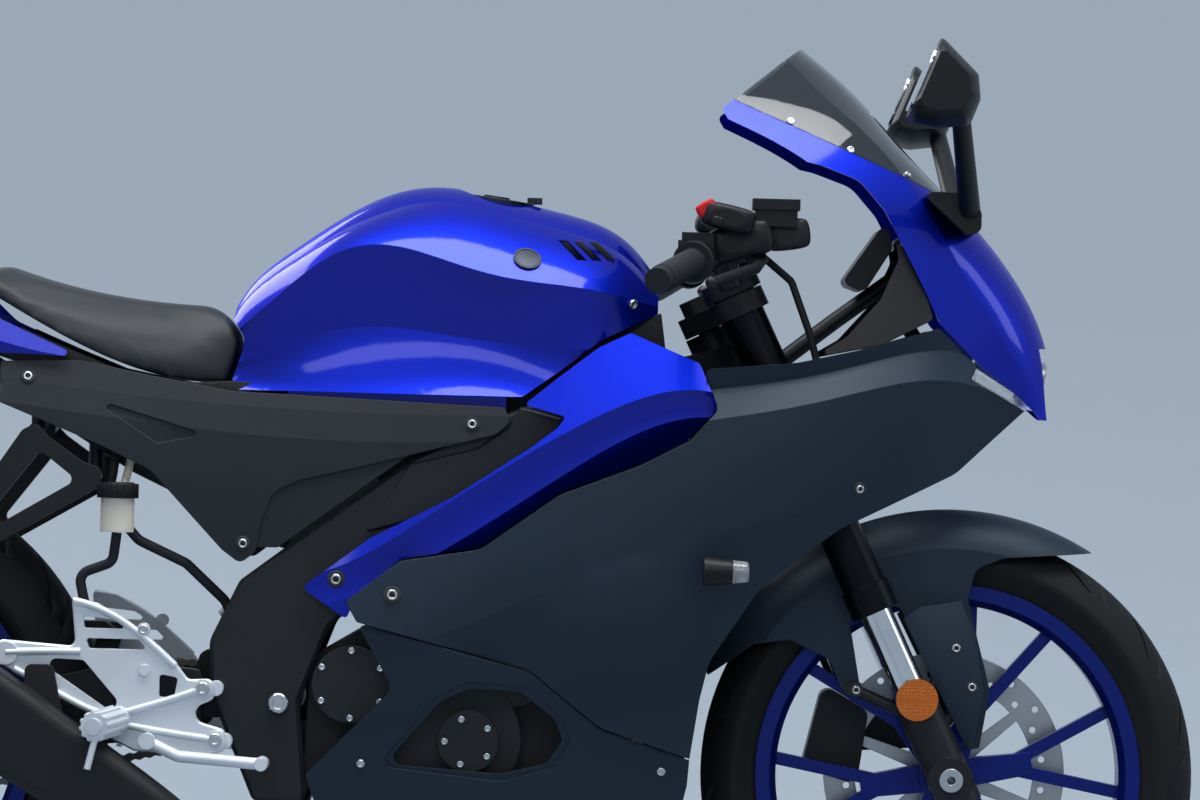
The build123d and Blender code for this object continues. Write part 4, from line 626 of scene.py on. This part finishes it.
class BIKE_OT_bolts(bpy.types.Operator):
    """Set the socket bolts into panels, fork feet, peg plates and engine covers"""

    bl_idname = "bike.bolts"
    bl_label = "Bolts"

    def execute(self, context):
        """One bolt and one washer are modelled for each body, and copied to their places and sizes."""
        # node, x, height, head radius in mm on the upright bike
        rows = [
            ("tank", -393, 852, 6.0),
            ("side_covers", -579, 704, 5.5),
            ("side_covers", -847, 556, 5.5),
            ("side_covers", -1108, 747, 5.5),
            ("shoulder_panels", -735, 517, 6.5),
            ("side_fairings", -667, 501, 6.5),
            ("side_fairings", -120, 640, 5.0),
            ("lower_cowls", -345, 300, 5.0),
            ("lower_cowls", -700, 300, 5.0),
            ("windscreen", -211, 1073, 4.5),
            ("windscreen", -139, 1041, 4.5),
            ("windscreen", -70, 1014, 4.5),
            ("rider_pegs", -888, 384, 8.0),
            ("rider_pegs", -872, 324, 8.0),
            ("rider_pegs", -960, 452, 6.0),
            ("fork_feet", 4, 452, 5.0),
            ("fork_feet", 24, 406, 5.0),
            ("fork_feet", -114, 399, 5.0),
            ("main_frame", -800, 368, 12.0),
        ]
        # x and height of an engine cover's middle, radius of its ring of bolts in mm, bolts
        rings = ((-715, 392, 40, 6), (-574, 328, 28, 5))
        ring_bolt = 4.0
        for x, z, ring, count in rings:
            for i in range(count):
                angle = math.tau * (i + 0.5) / count
                rows.append(("engine", x + ring * math.cos(angle), z + ring * math.sin(angle), ring_bolt))
        # Nodes whose bolts sit on rubber washers
        washered = ("side_covers", "side_fairings", "fork_feet", "shoulder_panels")
        bolts, washers = {}, {}
        for node, x, z, radius in rows:
            for side in (-1, 1):
                # The engine's covers are bolted on the right alone
                if node == "engine" and side > 0:
                    continue
                place = touch(node, x, z, side) @ Matrix.Scale(radius * MM, 4)
                bolts.setdefault(BODY_OF[node], []).append(place)
                if node in washered:
                    washers.setdefault(BODY_OF[node], []).append(place)
        for body, places in bolts.items():
            settle(spread_out(self.bolt(), f"bolts_{body}", places), "bolt_steel", "steel", body)
        for body, places in washers.items():
            settle(spread_out(self.washer(), f"washers_{body}", places), "grip_rubber", "grip_rubber", body)
        return {"FINISHED"}

    def washer(self):
        """A rubber washer under a head of radius 1, with a sloping rim."""
        return turned(sides=24, radius=1.6, depth=0.4, middle=0.0, steps=((0.2, 0.16, False),))

    def bolt(self):
        """A button head of radius 1 with a round recess."""
        steps = ((0.14, 0.14, False), (0.3, -0.34, True))
        return turned(sides=24, radius=1.0, depth=0.7, middle=0.2, steps=steps)


class BIKE_OT_fittings(bpy.types.Operator):
    """Model the small fittings: tank discs, reservoir cap, bar controls, indicators and peg castings"""

    bl_idname = "bike.fittings"
    bl_label = "Fittings"

    def execute(self, context):
        """Each fitting is modelled once and placed."""
        discs = [touch("tank", -519, 901, side) for side in (-1, 1)]
        settle(spread_out(self.disc(), "tank_discs", discs), "black_nickel", "silver_alloy", "chassis")
        cap = LEAN @ Matrix.Translation(Vector((-996, -150, 605)) * MM)
        black = ("control_plastic", "control_black")
        settle(spread_out(self.cap(), "reservoir_cap", [cap]), *black, "chassis")
        # name, finish, slot, x, y and height of the middle, length, thickness and height in mm,
        # tilt in degrees
        rows = (
            ("switch_housing", *black, -284, -196, 955, 68, 42, 32, 12),
            ("stop_switch", "signal_red", "lamp_red", -309, -206, 965, 26, 16, 18, -30),
            ("start_button", *black, -296, -215, 950, 14, 10, 12, 12),
            ("throttle_pod", *black, -268, -172, 928, 82, 46, 44, -14),
            ("left_switch_housing", *black, -284, 196, 955, 68, 42, 32, 12),
            ("left_pod", *black, -268, 172, 928, 82, 46, 44, -14),
            ("cylinder_block", "black_powder_coat", "cast_black", -212, -150, 938, 56, 36, 38, -8),
        )
        for name, finish, slot, x, y, z, length, depth, height, tilt in rows:
            size = Matrix.Diagonal(Vector((length, depth, height)) * MM).to_4x4()
            turn = Matrix.Rotation(math.radians(tilt), 4, "Y")
            place = LEAN @ Matrix.Translation(Vector((x, y, z)) * MM) @ turn @ size
            settle(spread_out(self.pod(), name, [place]), finish, slot, "steering")
        self.indicators()
        self.pegs()
        return {"FINISHED"}

    def indicators(self):
        """Rounded pods in place of the indicators' blocks: a dark shell, and a clear lens at one end."""
        # x in mm where the front and the rear lens start
        front_edge, rear_edge = -268, -1600
        # name, finish, slot, whether the half ahead of the edge is kept of the front and of the rear pair
        rows = (
            ("indicator_shells", "control_plastic", "control_black", False, True),
            ("indicator_lenses", "clear_acrylic", "lamp_clear", True, False),
        )
        for name, finish, slot, front_ahead, rear_ahead in rows:
            front = self.pod_half(front_edge, True, front_ahead)
            rear = self.pod_half(rear_edge, False, rear_ahead)
            piece = unite([front, rear], name)
            settle(piece, finish, slot, "chassis")
        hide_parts("indicators")

    def pod_half(self, edge, front, keep_ahead):
        """The front or the rear pair of indicators with softened edges, cut at one x, one half kept."""
        # x in mm that parts the two pairs, mesh size of the softened block and its smoothing passes
        middle, voxel, passes = -700, 1.5 * MM, 16
        piece = lift("indicators", "pod_half")
        modify("REMESH", mode="VOXEL", voxel_size=voxel)
        modify("SMOOTH", factor=0.5, iterations=passes)
        for cut, ahead in ((middle, front), (edge, keep_ahead)):
            edit()
            bpy.ops.mesh.select_all(action="SELECT")
            bpy.ops.mesh.bisect(plane_co=LEAN @ Vector((cut * MM, 0, 0)), plane_no=FORWARD,
                                clear_inner=ahead, clear_outer=not ahead, use_fill=True)
            bpy.ops.object.mode_set(mode="OBJECT")
        smooth(40.0)
        return piece

    def pegs(self):
        """Cast rails on the peg brackets, the knurled sleeves of the pegs and their feeler pins."""
        # Distance of the rails from the middle and radius of rails and pins, in mm
        face, rail_radius, pin_radius = 169, 4.5, 4.0
        # x, distance from the middle and height in mm of the points of rails, pin and sleeve on one side
        rails = (
            ((-1122, face, 421), (-1080, face, 424), (-1034, face, 424)),
            ((-1112, face, 402), (-1060, face, 374), (-1010, face, 350), (-985, face, 346)),
            ((-985, face, 352), (-935, face, 366), (-888, face, 384)),
            ((-985, face, 340), (-930, face, 330), (-872, face, 324)),
            ((-1044, face, 484), (-1016, face, 479), (-964, face, 449), (-922, face, 410)),
        )
        pin = ((-1006, 254, 334), (-1010, 256, 316), (-1016, 257, 290))
        sleeve = ((-991, 186, 344), (-1009, 259, 340))
        made = []
        for side in (-1, 1):
            for points in rails:
                made.append(bar("rail", self.on_side(points, side), rail_radius))
            made.append(bar("feeler", self.on_side(pin, side), pin_radius))
            inner, outer = self.on_side(sleeve, side)
            way = (outer - inner).to_track_quat("Z", "Y").to_matrix().to_4x4()
            place = LEAN @ Matrix.Translation(inner * MM) @ way
            made.append(spread_out(self.sleeve((outer - inner).length * MM), "sleeve", [place]))
        settle(unite(made, "peg_castings"), "blasted_alloy", "silver_alloy", "chassis")

    def on_side(self, points, side):
        """Points of the left side for 1, or their mirror images on the right for -1."""
        return [Vector((x, side * y, z)) for x, y, z in points]

    def ribbed(self, sides, radius, length, middle, rib):
        """A cylinder about Z, left open in edit mode, with every second side raised to a rib."""
        clear()
        bpy.ops.mesh.primitive_cylinder_add(vertices=sides, radius=radius, depth=length,
                                            location=(0, 0, middle))
        edit()
        pick(lambda spot, normal: abs(normal.z) < ASIDE and self.even(spot, sides))
        bpy.ops.mesh.extrude_region_shrink_fatten(TRANSFORM_OT_shrink_fatten={"value": rib})

    def sleeve(self, length):
        """A peg's sleeve with raised teeth along it."""
        self.ribbed(sides=24, radius=16.5 * MM, length=length, middle=length / 2, rib=2.0 * MM)
        bpy.ops.object.mode_set(mode="OBJECT")
        modify("BEVEL", width=0.6 * MM, segments=2, limit_method="ANGLE")
        smooth()
        return bpy.context.object

    def even(self, middle, count):
        """Whether a face is one of the even ones of that many round the Z axis."""
        return int(middle.xy.angle_signed((1, 0)) % math.tau / (math.tau / count)) % 2 == 0

    def disc(self):
        """A blank dished disc, 17 mm in radius."""
        steps = ((0.6 * MM, 0.5 * MM, False), (2.2 * MM, -0.9 * MM, True), (9 * MM, 0.5 * MM, False))
        return turned(sides=48, radius=17 * MM, depth=3 * MM, middle=0.4 * MM, steps=steps)

    def cap(self):
        """A ribbed screw cap over the reservoir's lid."""
        self.ribbed(sides=48, radius=23.5 * MM, length=17 * MM, middle=9.5 * MM, rib=1.2 * MM)
        pick(lambda middle, normal: normal.z > ALONG and middle.xy.length < 1 * MM)
        bpy.ops.mesh.inset(thickness=4 * MM)
        bpy.ops.mesh.extrude_region_move(TRANSFORM_OT_translate={"value": (0, 0, 1.6 * MM)})
        bpy.ops.object.mode_set(mode="OBJECT")
        modify("BEVEL", width=0.5 * MM, segments=2, limit_method="ANGLE")
        smooth()
        return bpy.context.object

    def pod(self):
        """A rounded moulding of unit size with a shallow field on both sides."""
        clear()
        bpy.ops.mesh.primitive_cube_add(size=1.0)
        edit()
        pick(lambda middle, normal: abs(normal.y) > ALONG)
        bpy.ops.mesh.inset(thickness=0.2, use_individual=True)
        bpy.ops.transform.resize(value=(1.0, 0.92, 1.0))
        bpy.ops.object.mode_set(mode="OBJECT")
        modify("BEVEL", width=0.14, segments=1, limit_method="ANGLE")
        modify("SUBSURF", levels=2)
        bpy.ops.object.shade_smooth()
        return bpy.context.object


class BIKE_OT_shields(bpy.types.Operator):
    """Fit the plates: inner shields between tank, seat, covers and frame, fender blades, vent inserts"""

    bl_idname = "bike.shields"
    bl_label = "Inner shields"

    def execute(self, context):
        """Each is one bevelled plate for the right side, with its mirror image for the left."""
        # The blades stand just proud of the boss that carries their upper bolt
        boss = LEAN.inverted() @ touch("fork_feet", 4, 452, -1).translation
        blade_out = abs(boss.y) / MM + 1.5
        # finish, slot, body
        dark = ("control_plastic", "control_black", "chassis")
        satin = ("matte_lacquer", "fairing_navy", "steering")
        # name, finish, slot, body, distance of the outer face from the middle in mm, copies and their pitch
        # along x, then x and height of each corner in mm
        rows = (
            ("tank_front_shield", *dark, 84, 1, 0, (
                (-560, 690), (-430, 752), (-350, 786), (-358, 842),
                (-430, 816), (-477, 780), (-525, 748), (-560, 750))),
            ("tank_rear_shield", *dark, 92, 1, 0, (
                (-905, 700), (-790, 700), (-790, 744), (-866, 748), (-905, 746))),
            ("seat_shield", *dark, 110, 1, 0, (
                (-885, 728), (-1120, 752), (-1120, 806), (-1062, 782),
                (-1000, 758), (-940, 746), (-885, 745))),
            ("spar_shield", *dark, 108, 1, 0, (
                (-585, 700), (-700, 668), (-730, 618), (-650, 640), (-585, 680))),
            ("fender_blades", *satin, blade_out, 1, 0, (
                (-60, 486), (-40, 500), (8, 508), (27, 468), (38, 398), (27, 332), (19, 332))),
            ("vent_inserts", *dark, 92.4, 3, 18, (
                (-482.8, 925.2), (-472.6, 925.2), (-449.2, 902.8), (-459.4, 902.8))),
        )
        flip = Matrix.Scale(-1, 4, (0, 1, 0))
        for name, finish, slot, body, out, copies, pitch, corners in rows:
            places = []
            for i in range(copies):
                along = i * pitch * MM
                places.append(LEAN @ Matrix.Translation((along, -out * MM, 0)))
                places.append(LEAN @ Matrix.Translation((along, out * MM, 0)) @ flip)
            piece = spread_out(self.plate(corners), name, places)
            turn_outwards()
            settle(piece, finish, slot, body)
        return {"FINISHED"}

    def plate(self, corners):
        """A plate in the bike's side plane, its outer face at zero, with broken edges."""
        thickness, edge = 3 * MM, 0.6 * MM
        clear()
        bpy.ops.mesh.primitive_circle_add(vertices=len(corners), fill_type="NGON")
        edit()
        open_mesh = bmesh.from_edit_mesh(bpy.context.object.data)
        open_mesh.verts.ensure_lookup_table()
        for vertex, (x, z) in zip(open_mesh.verts, corners):
            vertex.co = (x * MM, 0, z * MM)
        bmesh.update_edit_mesh(bpy.context.object.data)
        bpy.ops.mesh.select_all(action="SELECT")
        bpy.ops.mesh.extrude_region_move(TRANSFORM_OT_translate={"value": (0, thickness, 0)})
        bpy.ops.object.mode_set(mode="OBJECT")
        modify("BEVEL", width=edge, segments=2, limit_method="ANGLE")
        smooth()
        return bpy.context.object


class BIKE_OT_stage(bpy.types.Operator):
    """Set the floor, the lamps and the camera"""

    bl_idname = "bike.stage"
    bl_label = "Stage"

    def execute(self, context):
        """Builds the studio."""
        stage = context.scene.bike_stage
        self.floor(stage.floor_colour)
        self.light(context, stage.floor_colour)
        self.camera(context, stage)
        context.scene.view_settings.view_transform = "Standard"
        return {"FINISHED"}

    def seen(self, tree):
        """1 for rays from the camera, and for those that a mirror or a lens sends on; 0 for the rest."""
        rays = add(tree, "LightPath").outputs
        direct = add(tree, "Math", None, {0: rays["Is Camera Ray"], 1: rays["Is Glossy Ray"]},
                     operation="MAXIMUM")
        both = add(tree, "Math", None, {0: direct.outputs[0], 1: rays["Is Transmission Ray"]},
                   operation="MAXIMUM")
        return both.outputs[0]

    def floor(self, colour):
        """One wide pale floor of painted concrete that runs into the backdrop and keeps the shadow."""
        # Metres each way, and the share of the backdrop's own colour in what is seen of the floor
        width, backdrop = 120, 0.8
        bpy.ops.mesh.primitive_plane_add(size=width)
        ground = bpy.context.object
        ground.name = "studio_floor"
        made, shader, place = start("studio_paint", colour, Roughness=0.8)
        grain(made, shader, place, size_mm=40.0, depth_mm=0.2, spread=0.05)
        tree = made.node_tree
        glow = add(tree, "Emission", {"Color": srgb(colour), "Strength": 1.0})
        share = add(tree, "Math", {1: backdrop}, {0: self.seen(tree)}, operation="MULTIPLY")
        blend = add(tree, "MixShader", None,
                    {0: share.outputs[0], 1: shader.outputs[0], 2: glow.outputs[0]})
        tree.links.new(blend.outputs[0], tree.nodes["Material Output"].inputs["Surface"])
        ground.data.materials.append(made)

    def light(self, context, colour):
        """Soft boxes above, beside and in front, and a dim even room."""
        # name, place on the upright bike, size, watts
        lamps = (
            ("top_box", (-0.6, -0.7, 3.3), (3.6, 1.4), 150.0),
            ("side_box", (-0.4, -4.8, 3.0), (5.0, 1.2), 60.0),
            ("nose_box", (3.4, -0.6, 1.9), (1.0, 1.6), 14.0),
            ("back_box", (-2.8, 2.8, 2.4), (2.0, 1.4), 40.0),
        )
        # Where the lamps point, and the share of the room's brightness that lights the bike
        middle, room_share = Vector((-0.5, 0.0, 0.6)), 0.3
        for name, spot, size, watts in lamps:
            lamp = bpy.data.lights.new(name, "AREA")
            lamp.shape = "RECTANGLE"
            lamp.size, lamp.size_y = size
            lamp.energy = watts
            holder = bpy.data.objects.new(name, lamp)
            context.scene.collection.objects.link(holder)
            turn = (middle - Vector(spot)).to_track_quat("-Z", "Y").to_matrix().to_4x4()
            holder.matrix_world = LEAN @ Matrix.Translation(spot) @ turn
        world = bpy.data.worlds.new("studio_room")
        world.use_nodes = True
        tree = world.node_tree
        room = tree.nodes["Background"]
        room.inputs["Color"].default_value = srgb(colour)
        level = add(tree, "MapRange", {"To Min": room_share, "To Max": 1.0}, {"Value": self.seen(tree)})
        tree.links.new(level.outputs["Result"], room.inputs["Strength"])
        context.scene.world = world

    def camera(self, context, stage):
        """The photograph's side view, square to the leaning bike."""
        lens = bpy.data.cameras.new("side_camera")
        lens.lens = stage.lens
        lens.sensor_width = 36.0
        holder = bpy.data.objects.new("side_camera", lens)
        context.scene.collection.objects.link(holder)
        c, s = math.cos(stage.roll), math.sin(stage.roll)
        turn = Matrix(((c, -s, 0), (0, 0, -1), (s, c, 0))).to_4x4()
        spot = Vector(stage.aim) - Vector((0, stage.distance, 0))
        holder.matrix_world = LEAN @ Matrix.Translation(spot) @ turn
        context.scene.camera = holder


class BIKE_PT_panel(bpy.types.Panel):
    """The bike's operators and settings."""

    bl_idname = "BIKE_PT_panel"
    bl_label = "Sport bike"
    bl_space_type = "VIEW_3D"
    bl_region_type = "UI"
    bl_category = "Sport bike"

    def draw(self, context):
        """Lists settings, then the operators in their order."""
        for group in (context.scene.bike_paint, context.scene.bike_soft, context.scene.bike_stage):
            for setting in group.bl_rna.properties:
                if setting.identifier not in ("rna_type", "name"):
                    self.layout.prop(group, setting.identifier)
        for step in STEPS:
            self.layout.operator(step.bl_idname)


STEPS = (BIKE_OT_finishes, BIKE_OT_seats, BIKE_OT_tyres, BIKE_OT_bolts, BIKE_OT_fittings,
         BIKE_OT_shields, BIKE_OT_stage)
CLASSES = (BikeStage, BikePaint, BikeSoft, *STEPS, BIKE_PT_panel)


def register():
    """Adds the classes and the scene's settings."""
    for made in CLASSES:
        bpy.utils.register_class(made)
    bpy.types.Scene.bike_stage = bpy.props.PointerProperty(type=BikeStage)
    bpy.types.Scene.bike_paint = bpy.props.PointerProperty(type=BikePaint)
    bpy.types.Scene.bike_soft = bpy.props.PointerProperty(type=BikeSoft)


def unregister():
    """Takes them away again."""
    del bpy.types.Scene.bike_soft
    del bpy.types.Scene.bike_paint
    del bpy.types.Scene.bike_stage
    for made in reversed(CLASSES):
        bpy.utils.unregister_class(made)


def main():
    """Builds the looks step by step."""
    register()
    for step in STEPS:
        group, name = step.bl_idname.split(".")
        getattr(getattr(bpy.ops, group), name)()


if __name__ == "__main__":
    main()
